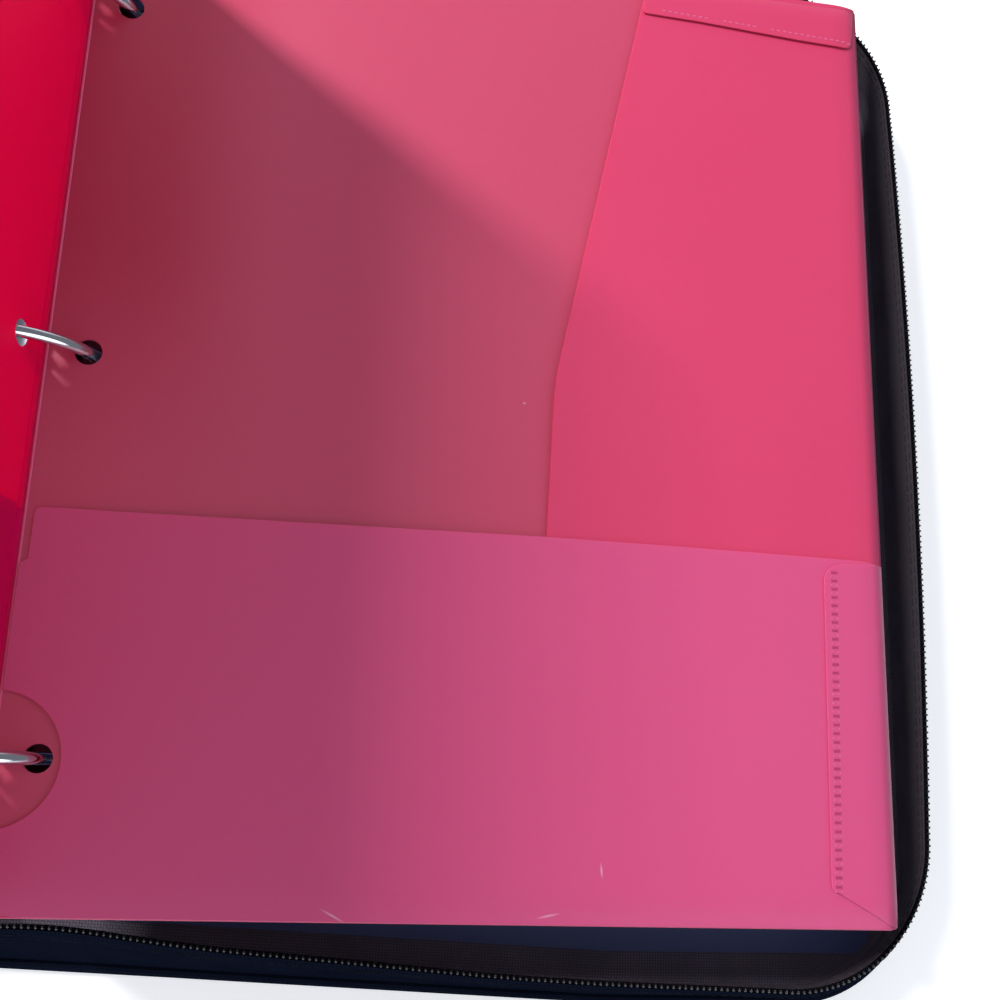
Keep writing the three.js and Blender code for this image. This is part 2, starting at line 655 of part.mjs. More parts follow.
/** The tab folded down from the head over the side pocket. */
function topTab(side) {
  const flap = new THREE.Shape();
  const far = PANEL_WIDTH - 2 * FOLD_EDGE;
  const foot = PANEL_HEAD - TOP_TAB_DEPTH;
  const corner = TOP_TAB_CORNER;
  flap.moveTo(side * TOP_TAB_START, PANEL_HEAD);
  flap.lineTo(side * far, PANEL_HEAD);
  flap.lineTo(side * far, foot + corner);
  flap.quadraticCurveTo(side * far, foot, side * (far - corner), foot);
  flap.lineTo(side * (TOP_TAB_START + corner), foot + TOP_TAB_RISE);
  flap.quadraticCurveTo(side * TOP_TAB_START, foot + TOP_TAB_RISE,
    side * TOP_TAB_START, foot + TOP_TAB_RISE + corner);
  return flap;
}

/** The tab folded from the fore edge over the bottom flap and welded to it. */
function weldTab(side) {
  const flap = new THREE.Shape();
  const far = PANEL_WIDTH - FOLD_EDGE / 2;
  const near = PANEL_WIDTH - WELD_TAB_WIDTH;
  const corner = WELD_TAB_CORNER;
  flap.moveTo(side * far, WELD_TAB_HEAD);
  flap.lineTo(side * (near + corner), WELD_TAB_HEAD);
  flap.quadraticCurveTo(side * near, WELD_TAB_HEAD, side * near, WELD_TAB_HEAD - corner);
  flap.lineTo(side * near, WELD_TAB_BEND + corner);
  flap.quadraticCurveTo(side * near, WELD_TAB_BEND, side * (near + corner), WELD_TAB_BEND - 2);
  flap.lineTo(side * (far - corner), -PANEL_FOOT + FOLD_EDGE);
  flap.lineTo(side * far, -PANEL_FOOT + FOLD_EDGE);
  return flap;
}

/** The backing sheet with its ring holes. */
function sheetShape(side, holeEdge) {
  const [low, high] = [-PANEL_FOOT, PANEL_HEAD];
  const far = side * PANEL_WIDTH;
  const cut = PANEL_CORNER;
  const sheet = new THREE.Shape();
  sheet.moveTo(side * FOLD_EDGE, low);
  sheet.lineTo(far - side * cut, low);
  sheet.quadraticCurveTo(far, low, far, low + cut);
  sheet.lineTo(far, high - cut);
  sheet.quadraticCurveTo(far, high, far - side * cut, high);
  sheet.lineTo(side * FOLD_EDGE, high);
  ringPlaces().forEach((y) => sheet.holes.push(roundHole(side * holeEdge, y, HOLE_R)));
  return sheet;
}

/** One panel of the folder with its pockets, flat, below the fold's axis. */
function folderPanel(name, side, holeEdge, film) {
  const layer = (level) => -FOLD_RAISE - SHEET / 2 + level * (SHEET + LAYER_GAP);
  const flat = (part, shape, level) =>
    piece(`${name}_${part}`, plate(shape, layer(level), SHEET), film);
  return [
    flat('panel', sheetShape(side, holeEdge), 0),
    flat('side_pocket', sidePocket(side), 1),
    flat('bottom_pocket', bottomPocket(side), 2),
    flat('top_tab', topTab(side), 2),
    flat('weld_tab', weldTab(side), 3),
  ];
}

/** The folder: the right panel lies on the rings and the left leaf stands at the fold. */
function folder() {
  const fold = [FOLD_X, RING_Y, PAGE_Z + FOLD_RAISE];
  return [
    assembly(folderPanel('folder', 1, PANEL_HOLE_EDGE, PINK_FILM), { at: fold }),
    assembly(folderPanel('leaf', -1, LEAF_HOLE_EDGE, RED_FILM), {
      at: fold, turn: [0, LEAF_ANGLE, 0],
    }),
  ];
}

const binder = new THREE.Group();
binder.add(
  assembly(cover('back', WALL_START)),
  assembly(cover('front', FRONT_ZIP_START), { turn: [0, 0, Math.PI] }),
  assembly(spine()),
  ringMechanism(),
  slider('foot', -1),
  slider('head', 1),
  ...folder(),
);

export default binder;
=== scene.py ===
"""Zip-round ring binder, open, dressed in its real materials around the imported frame.

Sizes are millimetres while a mesh is shaped, and metres once it is finished. The back
cover lies towards +X with the rings and the folder, the front cover towards -X.
"""

import logging
import math
from bisect import bisect_right
from collections.abc import Callable, Iterable, Sequence
from dataclasses import dataclass, field
from enum import Enum
from functools import cached_property

import bmesh
import bpy
from mathutils import Matrix, Vector


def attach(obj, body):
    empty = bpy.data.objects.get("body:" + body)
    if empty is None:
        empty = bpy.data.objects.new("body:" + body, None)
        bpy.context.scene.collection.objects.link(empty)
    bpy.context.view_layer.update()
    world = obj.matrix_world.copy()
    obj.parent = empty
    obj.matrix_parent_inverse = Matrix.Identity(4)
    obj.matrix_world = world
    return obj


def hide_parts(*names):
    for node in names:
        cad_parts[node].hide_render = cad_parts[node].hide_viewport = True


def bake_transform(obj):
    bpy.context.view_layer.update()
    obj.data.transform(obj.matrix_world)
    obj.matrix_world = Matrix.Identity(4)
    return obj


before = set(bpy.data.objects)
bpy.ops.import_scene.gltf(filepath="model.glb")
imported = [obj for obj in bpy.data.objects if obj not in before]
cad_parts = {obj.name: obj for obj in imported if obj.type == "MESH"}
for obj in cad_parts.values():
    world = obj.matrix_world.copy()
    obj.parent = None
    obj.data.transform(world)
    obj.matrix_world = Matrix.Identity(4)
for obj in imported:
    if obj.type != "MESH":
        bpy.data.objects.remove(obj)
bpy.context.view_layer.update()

MM = 0.001
WHITE = "#ffffff"
# Angles in degrees above which an edge stays sharp
SHARP_ANGLE = 35.0
STITCH_ANGLE = 60.0
log = logging.getLogger("binder")

Point = tuple[float, float]
Mesh = bmesh.types.BMesh


class Named(Enum):
    """A choice whose name is part of piece names."""

    @property
    def label(self) -> str:
        """The choice's name in piece names."""
        return self.name.lower()


class CoverSide(Named):
    """The cover of the case that a piece belongs to."""

    BACK = 1
    FRONT = -1

    @property
    def body(self) -> str:
        """The body that carries the cover."""
        return f"{self.label}_case"

    @property
    def turn(self) -> Matrix:
        """The half turn that lays the front cover opposite the back one."""
        return Matrix.Rotation(0.0 if self is CoverSide.BACK else math.pi, 4, "Z")


class Hand(Named):
    """The left or right half of each ring."""

    LEFT = -1
    RIGHT = 1


class End(Named):
    """The foot or head end of the binder."""

    FOOT = -1
    HEAD = 1


# Node and colour helpers


def linear(code: str) -> tuple[float, float, float, float]:
    """Turns an sRGB hex colour into linear RGBA.

    Args:
        code: Colour such as "#2d3350".

    Returns:
        Linear red, green, blue and an alpha of 1.
    """
    parts = (int(code[i : i + 2], 16) / 255 for i in (1, 3, 5))
    red, green, blue = (
        p / 12.92 if p <= 0.04045 else ((p + 0.055) / 1.055) ** 2.4 for p in parts
    )
    return red, green, blue, 1.0


def wire(node: bpy.types.Node, inputs: dict[str | int, object]) -> None:
    """Sets a node's inputs and links them.

    Args:
        node: The node.
        inputs: A value, sRGB hex colour or another node's output, for each input.
    """
    for key, value in inputs.items():
        if isinstance(value, bpy.types.NodeSocket):
            node.id_data.links.new(value, node.inputs[key])
        else:
            value = linear(value) if isinstance(value, str) else value
            node.inputs[key].default_value = value


def add_node(
    tree: bpy.types.NodeTree,
    kind: str,
    inputs: dict[str | int, object] | None = None,
    **settings: object,
) -> bpy.types.bpy_prop_collection:
    """Adds a shader node with its settings and links.

    Args:
        tree: Node tree that gets the node.
        kind: Blender's type name for the node, without its "ShaderNode".
        inputs: A value, sRGB hex colour or another node's output, for each input.
        **settings: Attributes of the node, such as its operation.

    Returns:
        The new node's outputs.
    """
    node = tree.nodes.new(f"ShaderNode{kind}")
    for key, value in settings.items():
        setattr(node, key, value)
    wire(node, inputs or {})
    return node.outputs


def band_scale(period_mm: float) -> float:
    """The Wave Texture scale whose bands repeat at a distance in millimetres."""
    return 2 * math.pi / (20 * period_mm * MM)


def vector(*parts: float) -> Vector:
    """A dataclass field that starts as a vector."""
    return field(default_factory=lambda: Vector(parts))


# Finishes


@dataclass(frozen=True)
class Finish:
    """A surface finish with one colour, roughness and named material slot."""

    name: str
    slot: str
    colour: str
    roughness: float

    def material(self) -> bpy.types.Material:
        """Returns the finish's material, made on first use."""
        made = bpy.data.materials.get(self.name)
        if made:
            return made
        made = bpy.data.materials.new(self.name)
        made.use_nodes = True
        made.diffuse_color = linear(self.colour)
        shader = made.node_tree.nodes["Principled BSDF"]
        wire(shader, {"Base Color": self.colour, "Roughness": self.roughness})
        self.dress(made.node_tree, shader)
        return made

    def dress(self, tree: bpy.types.NodeTree, shader: bpy.types.Node) -> None:
        """Adds the finish's own pattern to the shader.

        Args:
            tree: Material's node tree.
            shader: Its Principled BSDF node.
        """

    def pattern(
        self,
        shader: bpy.types.Node,
        share: object,
        tones: tuple[str, str],
        height: object = None,
        depth_mm: float = 0.0,
    ) -> None:
        """Leads a pattern to the shader's colour and, where it has height, its normal.

        Args:
            shader: Material's Principled BSDF node.
            share: Output that gives the share of the second tone.
            tones: The pattern's two sRGB hex colours.
            height: Output that gives the pattern's height from 0 to 1.
            depth_mm: Depth of the pattern in millimetres.
        """
        tree = shader.id_data
        mix = {"Factor": share, 6: tones[0], 7: tones[1]}
        wire(shader, {"Base Color": add_node(tree, "Mix", mix, data_type="RGBA")[2]})
        if height is not None:
            relief = {"Height": height, "Distance": depth_mm * MM}
            wire(shader, {"Normal": add_node(tree, "Bump", relief)["Normal"]})


@dataclass(frozen=True)
class WovenPolyester(Finish):
    """Polyester canvas: a plain weave of soft matt threads that do not shine."""

    raised: str
    thread_mm: float
    depth_mm: float = 0.12
    fading_scale: float = 60.0

    def dress(self, tree: bpy.types.NodeTree, shader: bpy.types.Node) -> None:
        """Draws crossing threads by the piece's UV map, which is in metres.

        Args:
            tree: Material's node tree.
            shader: Its Principled BSDF node.
        """
        cloth = add_node(tree, "TexCoord")["UV"]
        # The threads are half a millimetre, drawn coarser so that they show
        bands = {"Vector": cloth, "Scale": band_scale(self.thread_mm)}
        warp, weft = (
            add_node(tree, "TexWave", bands, bands_direction=axis)["Fac"] for axis in "XY"
        )
        cells = {"Vector": cloth, "Scale": 1 / (self.thread_mm * MM)}
        over = add_node(tree, "TexChecker", cells)["Fac"]
        threads = {"Factor": over, 2: warp, 3: weft}
        weave = add_node(tree, "Mix", threads, data_type="FLOAT")[0]
        patches = {"Vector": cloth, "Scale": self.fading_scale, "Detail": 3.0}
        fading = add_node(tree, "TexNoise", patches)["Fac"]
        tone = add_node(tree, "Math", {0: weave, 1: fading}, operation="MULTIPLY")[0]
        self.pattern(shader, tone, (self.colour, self.raised), weave, self.depth_mm)
        wire(shader, {"Specular IOR Level": 0.0})


@dataclass(frozen=True)
class HerringboneTape(Finish):
    """Zip tape: soft twill whose ribs turn back every few millimetres."""

    raised: str
    rib_mm: float
    turn_mm: float
    depth_mm: float = 0.1
    ior: float = 1.15

    def dress(self, tree: bpy.types.NodeTree, shader: bpy.types.Node) -> None:
        """Draws chevron ribs by the piece's UV map.

        Args:
            tree: Material's node tree.
            shader: Its Principled BSDF node.
        """
        cloth = add_node(tree, "TexCoord")["UV"]
        parts = add_node(tree, "SeparateXYZ", {0: cloth})
        turns = {0: parts["Y"], 1: self.turn_mm * MM}
        zigzag = add_node(tree, "Math", turns, operation="PINGPONG")[0]
        shifted = add_node(tree, "Math", {0: parts["X"], 1: zigzag}, operation="ADD")[0]
        slanted = add_node(tree, "CombineXYZ", {"X": shifted})[0]
        bands = {"Vector": slanted, "Scale": band_scale(self.rib_mm), "Distortion": 0.2}
        ribs = add_node(tree, "TexWave", bands, bands_direction="X")["Fac"]
        self.pattern(shader, ribs, (self.colour, self.raised), ribs, self.depth_mm)
        wire(shader, {"IOR": self.ior})


@dataclass(frozen=True)
class GrainedVinyl(Finish):
    """Calendered PVC sheet: glossy, with a shallow leather grain and slow waves."""

    grain_mm: float
    grain_depth_mm: float = 0.06
    wave_scale: float = 14.0
    wave_depth_mm: float = 1.2
    coat: float = 0.5
    coat_roughness: float = 0.2

    def dress(self, tree: bpy.types.NodeTree, shader: bpy.types.Node) -> None:
        """Draws the grain on Object coordinates.

        Args:
            tree: Material's node tree.
            shader: Its Principled BSDF node.
        """
        place = add_node(tree, "TexCoord")["Object"]
        cells = {"Vector": place, "Scale": 1 / (self.grain_mm * MM)}
        grains = add_node(tree, "TexVoronoi", cells, feature="DISTANCE_TO_EDGE")
        swells = {"Vector": place, "Scale": self.wave_scale, "Detail": 1.0}
        waves = add_node(tree, "TexNoise", swells)["Fac"]
        slow = {"Height": waves, "Distance": self.wave_depth_mm * MM}
        fine = {"Height": grains["Distance"], "Distance": self.grain_depth_mm * MM}
        fine["Normal"] = add_node(tree, "Bump", slow)["Normal"]
        wear = {"Value": waves, 3: self.roughness - 0.06, 4: self.roughness + 0.1}
        wire(
            shader,
            {
                "Normal": add_node(tree, "Bump", fine)["Normal"],
                "Roughness": add_node(tree, "MapRange", wear)[0],
                "IOR": 1.53,
                "Coat Weight": self.coat,
                "Coat Roughness": self.coat_roughness,
            },
        )


@dataclass(frozen=True)
class PressedBoard(Finish):
    """Grey bookbinding board: matt recycled fibre with darker flecks."""

    fleck: str
    fleck_scale: float = 900.0
    depth_mm: float = 0.08

    def dress(self, tree: bpy.types.NodeTree, shader: bpy.types.Node) -> None:
        """Draws the flecks on Object coordinates.

        Args:
            tree: Material's node tree.
            shader: Its Principled BSDF node.
        """
        place = add_node(tree, "TexCoord")["Object"]
        specks = {"Vector": place, "Scale": self.fleck_scale, "Detail": 4.0}
        flecks = add_node(tree, "TexNoise", specks)["Fac"]
        self.pattern(shader, flecks, (self.fleck, self.colour), flecks, self.depth_mm)


@dataclass(frozen=True)
class DrawnNylon(Finish):
    """Extruded nylon monofilament: smooth and semi-glossy, with slight colour drift."""

    lit: str
    ior: float = 1.53
    drift_scale: float = 350.0

    def dress(self, tree: bpy.types.NodeTree, shader: bpy.types.Node) -> None:
        """Varies the tone along the coil.

        Args:
            tree: Material's node tree.
            shader: Its Principled BSDF node.
        """
        place = add_node(tree, "TexCoord")["Object"]
        stretches = {"Vector": place, "Scale": self.drift_scale, "Detail": 2.0}
        drift = add_node(tree, "TexNoise", stretches)["Fac"]
        self.pattern(shader, drift, (self.colour, self.lit))
        wire(shader, {"IOR": self.ior})


@dataclass(frozen=True)
class PaintedZinc(Finish):
    """Die-cast zinc with a dark lacquer that is rubbed lighter in places."""

    rubbed: str
    patch_scale: float = 420.0
    depth_mm: float = 0.02

    def dress(self, tree: bpy.types.NodeTree, shader: bpy.types.Node) -> None:
        """Draws rubbed patches on Object coordinates.

        Args:
            tree: Material's node tree.
            shader: Its Principled BSDF node.
        """
        place = add_node(tree, "TexCoord")["Object"]
        patches = {"Vector": place, "Scale": self.patch_scale, "Detail": 5.0}
        cloudy = add_node(tree, "TexNoise", patches)["Fac"]
        rubbing = add_node(tree, "MapRange", {"Value": cloudy, 1: 0.52, 2: 0.75})[0]
        self.pattern(shader, rubbing, (self.colour, self.rubbed), cloudy, self.depth_mm)
        wire(shader, {"Metallic": 0.9})


@dataclass(frozen=True)
class NickelPlate(Finish):
    """Nickel plate on steel, bright or satin, with faint handling smears."""

    smear_scale: float = 180.0

    def dress(self, tree: bpy.types.NodeTree, shader: bpy.types.Node) -> None:
        """Smears the gloss on Object coordinates.

        Args:
            tree: Material's node tree.
            shader: Its Principled BSDF node.
        """
        place = add_node(tree, "TexCoord")["Object"]
        wipes = {"Vector": place, "Scale": self.smear_scale, "Detail": 4.0}
        smears = add_node(tree, "TexNoise", wipes)["Fac"]
        gloss = {"Value": smears, 3: self.roughness * 0.6, 4: self.roughness * 1.8}
        wire(shader, {"Roughness": add_node(tree, "MapRange", gloss)[0], "Metallic": 1.0})


@dataclass(frozen=True)
class FrostedFilm(Finish):
    """Frosted polypropylene sheet: a fine matt grain, and light that soaks through."""

    cloud: str
    soak: float
    gloss: float = 0.35
    marks: tuple[tuple[float, float, float, float], ...] = ()
    # The two flags below turn on painted shade where the sheet rolls over at the fore
    # edge, and painted red bounce light from the leaf by the rings
    rolled: bool = False
    red_bounce_painted: bool = False
    grain_mm: float = 0.5
    grain_depth_mm: float = 0.03
    cloud_scale: float = 9.0
    soak_mm: float = 2.5
    mark_width_mm: float = 0.9
    mark_tint: str = "#f4c3d4"
    mark_share: float = 0.55
    # Painted shade on the roll at the fore edge: span in X, tint and share
    roll_shade_span: Point = (0.31, 0.3152)
    roll_shade_tint: str = "#8a2a50"
    roll_shade_share: float = 0.85
    # Painted red bounce light from the leaf, in its shadow by the rings: spans, tint and
    # share
    red_bounce_span_x: Point = (0.138, 0.098)
    red_bounce_span_y: Point = (-0.035, 0.045)
    red_bounce_tint: str = "#b50842"
    red_bounce_share: float = 0.8

    def tints(self, tree: bpy.types.NodeTree, place: object) -> list[tuple[object, str]]:
        """Finds where other tints lie over the sheet's own colour.

        Creases and scuffs are whitened. Painted shade deepens the sheet where it rolls
        over at the fore edge, and painted red bounce light from the leaf, in its shadow,
        deepens it by the rings.

        Args:
            tree: Material's node tree.
            place: Output that gives Object coordinates.

        Returns:
            The share and the colour of each tint.
        """
        found = []
        for x, y, length, turn in self.marks:
            frame_of_mark = {
                "Vector": place,
                "Location": (x * MM, y * MM, 0.0),
                "Rotation": (0.0, 0.0, math.radians(turn)),
                "Scale": (length / 2 * MM, self.mark_width_mm / 2 * MM, 1.0),
            }
            spot = add_node(tree, "Mapping", frame_of_mark, vector_type="TEXTURE")[0]
            reach = add_node(tree, "VectorMath", {0: spot}, operation="LENGTH")["Value"]
            fade = {"Value": reach, 1: 1.0, 2: 0.0, 3: 0.0, 4: self.mark_share}
            share = add_node(tree, "MapRange", fade, interpolation_type="SMOOTHSTEP")[0]
            found.append((share, self.mark_tint))
        regions = []
        # Painted shade on the fore edge's roll, and painted red bounce light from the
        # leaf by the rings
        if self.rolled:
            regions.append((self.roll_shade_share, self.roll_shade_tint, (("X", self.roll_shade_span),)))
        if self.red_bounce_painted:
            spans = (("X", self.red_bounce_span_x), ("Y", self.red_bounce_span_y))
            regions.append((self.red_bounce_share, self.red_bounce_tint, spans))
        for share, tint, spans in regions:
            for axis, (clear, full) in spans:
                along = add_node(tree, "SeparateXYZ", {0: place})[axis]
                fade = {"Value": along, 1: clear, 2: full, 3: 0.0, 4: 1.0}
                near = add_node(tree, "MapRange", fade, interpolation_type="SMOOTHSTEP")
                factors = {0: share, 1: near[0]}
                share = add_node(tree, "Math", factors, operation="MULTIPLY")[0]
            found.append((share, tint))
        return found

    def dress(self, tree: bpy.types.NodeTree, shader: bpy.types.Node) -> None:
        """Clouds the colour and grains the surface on Object coordinates.

        Args:
            tree: Material's node tree.
            shader: Its Principled BSDF node.
        """
        place = add_node(tree, "TexCoord")["Object"]
        drifts = {"Vector": place, "Scale": self.cloud_scale, "Detail": 2.0}
        clouds = add_node(tree, "TexNoise", drifts)["Fac"]
        speckle = {"Vector": place, "Scale": 1 / (self.grain_mm * MM), "Detail": 1.0}
        relief = {"Height": add_node(tree, "TexNoise", speckle)["Fac"]}
        relief["Distance"] = self.grain_depth_mm * MM
        colour: object = self.colour
        for share, tint in [(clouds, self.cloud), *self.tints(tree, place)]:
            layers = {"Factor": share, 6: colour, 7: tint}
            colour = add_node(tree, "Mix", layers, data_type="RGBA")[2]
        wire(
            shader,
            {
                "Base Color": colour,
                "Normal": add_node(tree, "Bump", relief)["Normal"],
                "Subsurface Weight": self.soak,
                "Subsurface Radius": (1.0, 0.25, 0.35),
                "Subsurface Scale": self.soak_mm * MM,
                "Specular IOR Level": self.gloss,
                "IOR": 1.49,
            },
        )


CANVAS = WovenPolyester(
    "woven_case_canvas", "case_fabric", "#0f1322", 0.9, "#1f273a", 1.1
)
LINING = WovenPolyester(
    "woven_nylon_lining", "case_fabric", "#4a4650", 0.8, "#7c7484", 0.8
)
TRIM = WovenPolyester("woven_edge_binding", "binding", "#131725", 0.8, "#20263a", 0.8)
CORD = WovenPolyester("woven_coil_core", "zip_tape", "#0c0c10", 0.9, "#17171c", 0.8)
# Painted shade: a near-black pad under the rings, where the folder shades the liner
SHADE_PAD = WovenPolyester("woven_ring_pad", "case_fabric", "#21070f", 0.9, "#2c0c17", 0.8)
BOARD = PressedBoard("pressed_greyboard", "greyboard", "#8c8577", 0.95, "#5f5a50")
VINYL = GrainedVinyl("calendered_navy_vinyl", "liner_vinyl", "#525c86", 0.3, 0.9)
TAPE = HerringboneTape(
    "herringbone_zip_tape", "zip_tape", "#383339", 0.85, "#625b63", 0.9, 2.6
)
COIL = DrawnNylon("drawn_nylon_coil", "zip_nylon", "#08080b", 0.3, "#131318")
SEAM = DrawnNylon("tape_nylon_thread", "zip_nylon", "#2e292f", 0.8, "#3a343b", 1.15)
THREAD = DrawnNylon("bonded_nylon_thread", "zip_nylon", "#0b0e16", 0.8, "#161a26", 1.15)
ZINC = PaintedZinc("lacquered_cast_zinc", "zip_metal", "#1c1c20", 0.34, "#6b6a6c")
NICKEL = NickelPlate("bright_nickel_plate", "chrome", "#d3d6da", 0.1)
GUNMETAL = NickelPlate("dark_satin_nickel", "chrome", "#4b4c51", 0.26)
# Middle, length and angle of the whitened creases by the foot, and of one scuff
SCUFFS = (
    (163.0, -140.2, 9.0, -28.0),
    (218.0, -139.4, 8.0, 12.0),
    (231.7, -127.9, 5.0, 96.0),
    (208.3, -0.9, 1.6, 0.0),
)
# rolled=True paints shade where a sheet rolls over at the fore edge
PINK = FrostedFilm(
    "frosted_pink_film", "pink_film", "#d43c65", 0.42, "#da446e", 0.15, rolled=True
)
ROSE = FrostedFilm(
    "frosted_rose_film",
    "pink_film",
    "#d44c7d",
    0.42,
    "#da5485",
    0.15,
    marks=SCUFFS,
    rolled=True,
)
# The backing sheet also carries painted red bounce light from the leaf by the rings
DULL = FrostedFilm(
    "frosted_pink_back",
    "pink_film",
    "#c74064",
    0.42,
    "#ce496c",
    0.25,
    0.6,
    SCUFFS[3:],
    rolled=True,
    red_bounce_painted=True,
)
# Painted shade: the fore edge's fold is dark pink because it lies in shade
SHADED_FOLD_FILM = FrostedFilm("shaded_pink_fold", "pink_film", "#6e1c3c", 0.6, "#782444", 0.1)
# Painted shade: a deeper red with less light soaking through, for the fold below the
# flaps
SHADED_RED = FrostedFilm("shaded_red_film", "red_film", "#d60054", 0.5, "#dc005c", 0.3, 0.15)
RED = FrostedFilm("frosted_red_film", "red_film", "#f4004c", 0.42, "#f80054", 1.0, 0.15)
# Fold bead: partly the crease's stress whitening, partly a painted highlight along the
# fold
CREASE_HIGHLIGHT = FrostedFilm(
    "creased_highlit_pink_film", "pink_film", "#fc5c8a", 0.45, "#fe6894", 0.5, 0.4
)
# Pale weld marks: painted highlights on the head tab's dashes and beside the rungs
WELD_HIGHLIGHT = FrostedFilm("weld_highlight_pink_film", "pink_film", "#e05f88", 0.38, "#e66c94", 0.3)
# Dark weld rungs: painted shade of pressed-in recesses
WELD_RECESS_SHADE = FrostedFilm("weld_recess_shade_film", "pink_film", "#b23562", 0.38, "#ba3d6a", 0.15)


# Mesh helpers


def softened(points: Sequence[Point], radius: float, steps: int = 3) -> list[Point]:
    """Rounds the corners of a closed outline.

    Args:
        points: Corners in order.
        radius: Distance from each corner at which its curve starts.
        steps: Segments in each rounded corner.

    Returns:
        The rounded outline's points.
    """
    soft = []
    befores, afters = [points[-1], *points[:-1]], [*points[1:], points[0]]
    for before, corner, after in zip(befores, points, afters):
        here = Vector(corner)
        start, stop = (
            here + (Vector(other) - here).normalized() * radius
            for other in (before, after)
        )
        soft += curve_points(start, here, stop, steps)
    return soft


def curve_points(start: Point, pull: Point, stop: Point, steps: int = 8) -> list[Point]:
    """Points along a quadratic curve, both ends included."""
    a, b, c = Vector(start), Vector(pull), Vector(stop)
    return [
        tuple(a * (1 - t) ** 2 + b * 2 * t * (1 - t) + c * t**2)
        for t in (k / steps for k in range(steps + 1))
    ]


def arc_points(
    centre: Point, radius: float, start: float, stop: float, steps: int
) -> list[Point]:
    """Points along an arc between two angles in radians, both ends included."""
    angles = (start + (stop - start) * k / steps for k in range(steps + 1))
    return [
        (centre[0] + radius * math.cos(a), centre[1] + radius * math.sin(a))
        for a in angles
    ]


def gridded(
    columns: int,
    rows: int,
    place: Callable[[int, int], Vector],
    measure: Callable[[int, int], Point],
) -> Mesh:
    """Lays a grid over a curved surface and gives it a UV map in metres.

    Args:
        columns: Faces along the first direction.
        rows: Faces along the second direction.
        place: Point in millimetres of a column and row.
        measure: Distances in millimetres along both directions.

    Returns:
        The laid grid.
    """
    bm = bmesh.new()
    bmesh.ops.create_grid(bm, x_segments=columns, y_segments=rows, size=0.5)
    uv = bm.loops.layers.uv.new("UVMap")
    spots = {
        v: (round((v.co.x + 0.5) * columns), round((v.co.y + 0.5) * rows))
        for v in bm.verts
    }
    for face in bm.faces:
        for loop in face.loops:
            along, across = measure(*spots[loop.vert])
            loop[uv].uv = (along * MM, across * MM)
    for vert, spot in spots.items():
        vert.co = place(*spot)
    return bm


def closed_up(bm: Mesh) -> Mesh:
    """Welds a swept grid's seam, fills its open ends and turns its faces outwards.

    Args:
        bm: The swept grid.

    Returns:
        The same mesh, closed.
    """
    bmesh.ops.remove_doubles(bm, verts=bm.verts, dist=0.0005)
    rims = [edge for edge in bm.edges if edge.is_boundary]
    if rims:
        bmesh.ops.holes_fill(bm, edges=rims, sides=0)
    bmesh.ops.recalc_face_normals(bm, faces=bm.faces)
    return bm


def run_lengths(points: Sequence[Vector]) -> list[float]:
    """Measures how far along a line through them each of its points lies.

    Args:
        points: Points in order.

    Returns:
        A distance for each point, from 0 at the first.
    """
    lengths = [0.0]
    for before, after in zip(points, points[1:]):
        lengths.append(lengths[-1] + (after - before).length)
    return lengths


def tube(path: Sequence[Vector], radius: float, sides: int = 12) -> Mesh:
    """Sweeps a round section along a path.

    Args:
        path: Points in millimetres.
        radius: Tube's radius.
        sides: Faces round the tube.

    Returns:
        The closed tube.
    """
    lengths = run_lengths(path)
    frames = []
    for i, point in enumerate(path):
        ahead = (path[min(i + 1, len(path) - 1)] - path[max(i - 1, 0)]).normalized()
        side = ahead.orthogonal().normalized() if i == 0 else frames[-1][1]
        side = (side - ahead * side.dot(ahead)).normalized()
        frames.append((point, side, ahead.cross(side)))

    def place(column: int, row: int) -> Vector:
        """Point of the tube at a station and a side."""
        point, side, up = frames[column]
        turn = 2 * math.pi * (row % sides) / sides
        return point + (side * math.cos(turn) + up * math.sin(turn)) * radius

    return closed_up(
        gridded(
            len(path) - 1,
            sides,
            place,
            lambda column, row: (lengths[column], 2 * math.pi * radius * row / sides),
        )
    )


def flat_uv(bm: Mesh) -> None:
    """Gives a flat piece a UV map in metres from its X and Y.

    Args:
        bm: The flat piece.
    """
    uv = bm.loops.layers.uv.verify()
    for face in bm.faces:
        for loop in face.loops:
            loop[uv].uv = (loop.vert.co.x * MM, loop.vert.co.y * MM)


def bevelled(
    bm: Mesh, edges: list[bmesh.types.BMEdge], size: float, segments: int
) -> None:
    """Bevels some edges of a mesh.

    Args:
        bm: The mesh.
        edges: Edges to bevel.
        size: Width of the bevel.
        segments: Number of its segments.
    """
    bmesh.ops.bevel(
        bm,
        geom=edges,
        offset=size,
        segments=segments,
        profile=0.5,
        affect="EDGES",
        material=-1,
    )


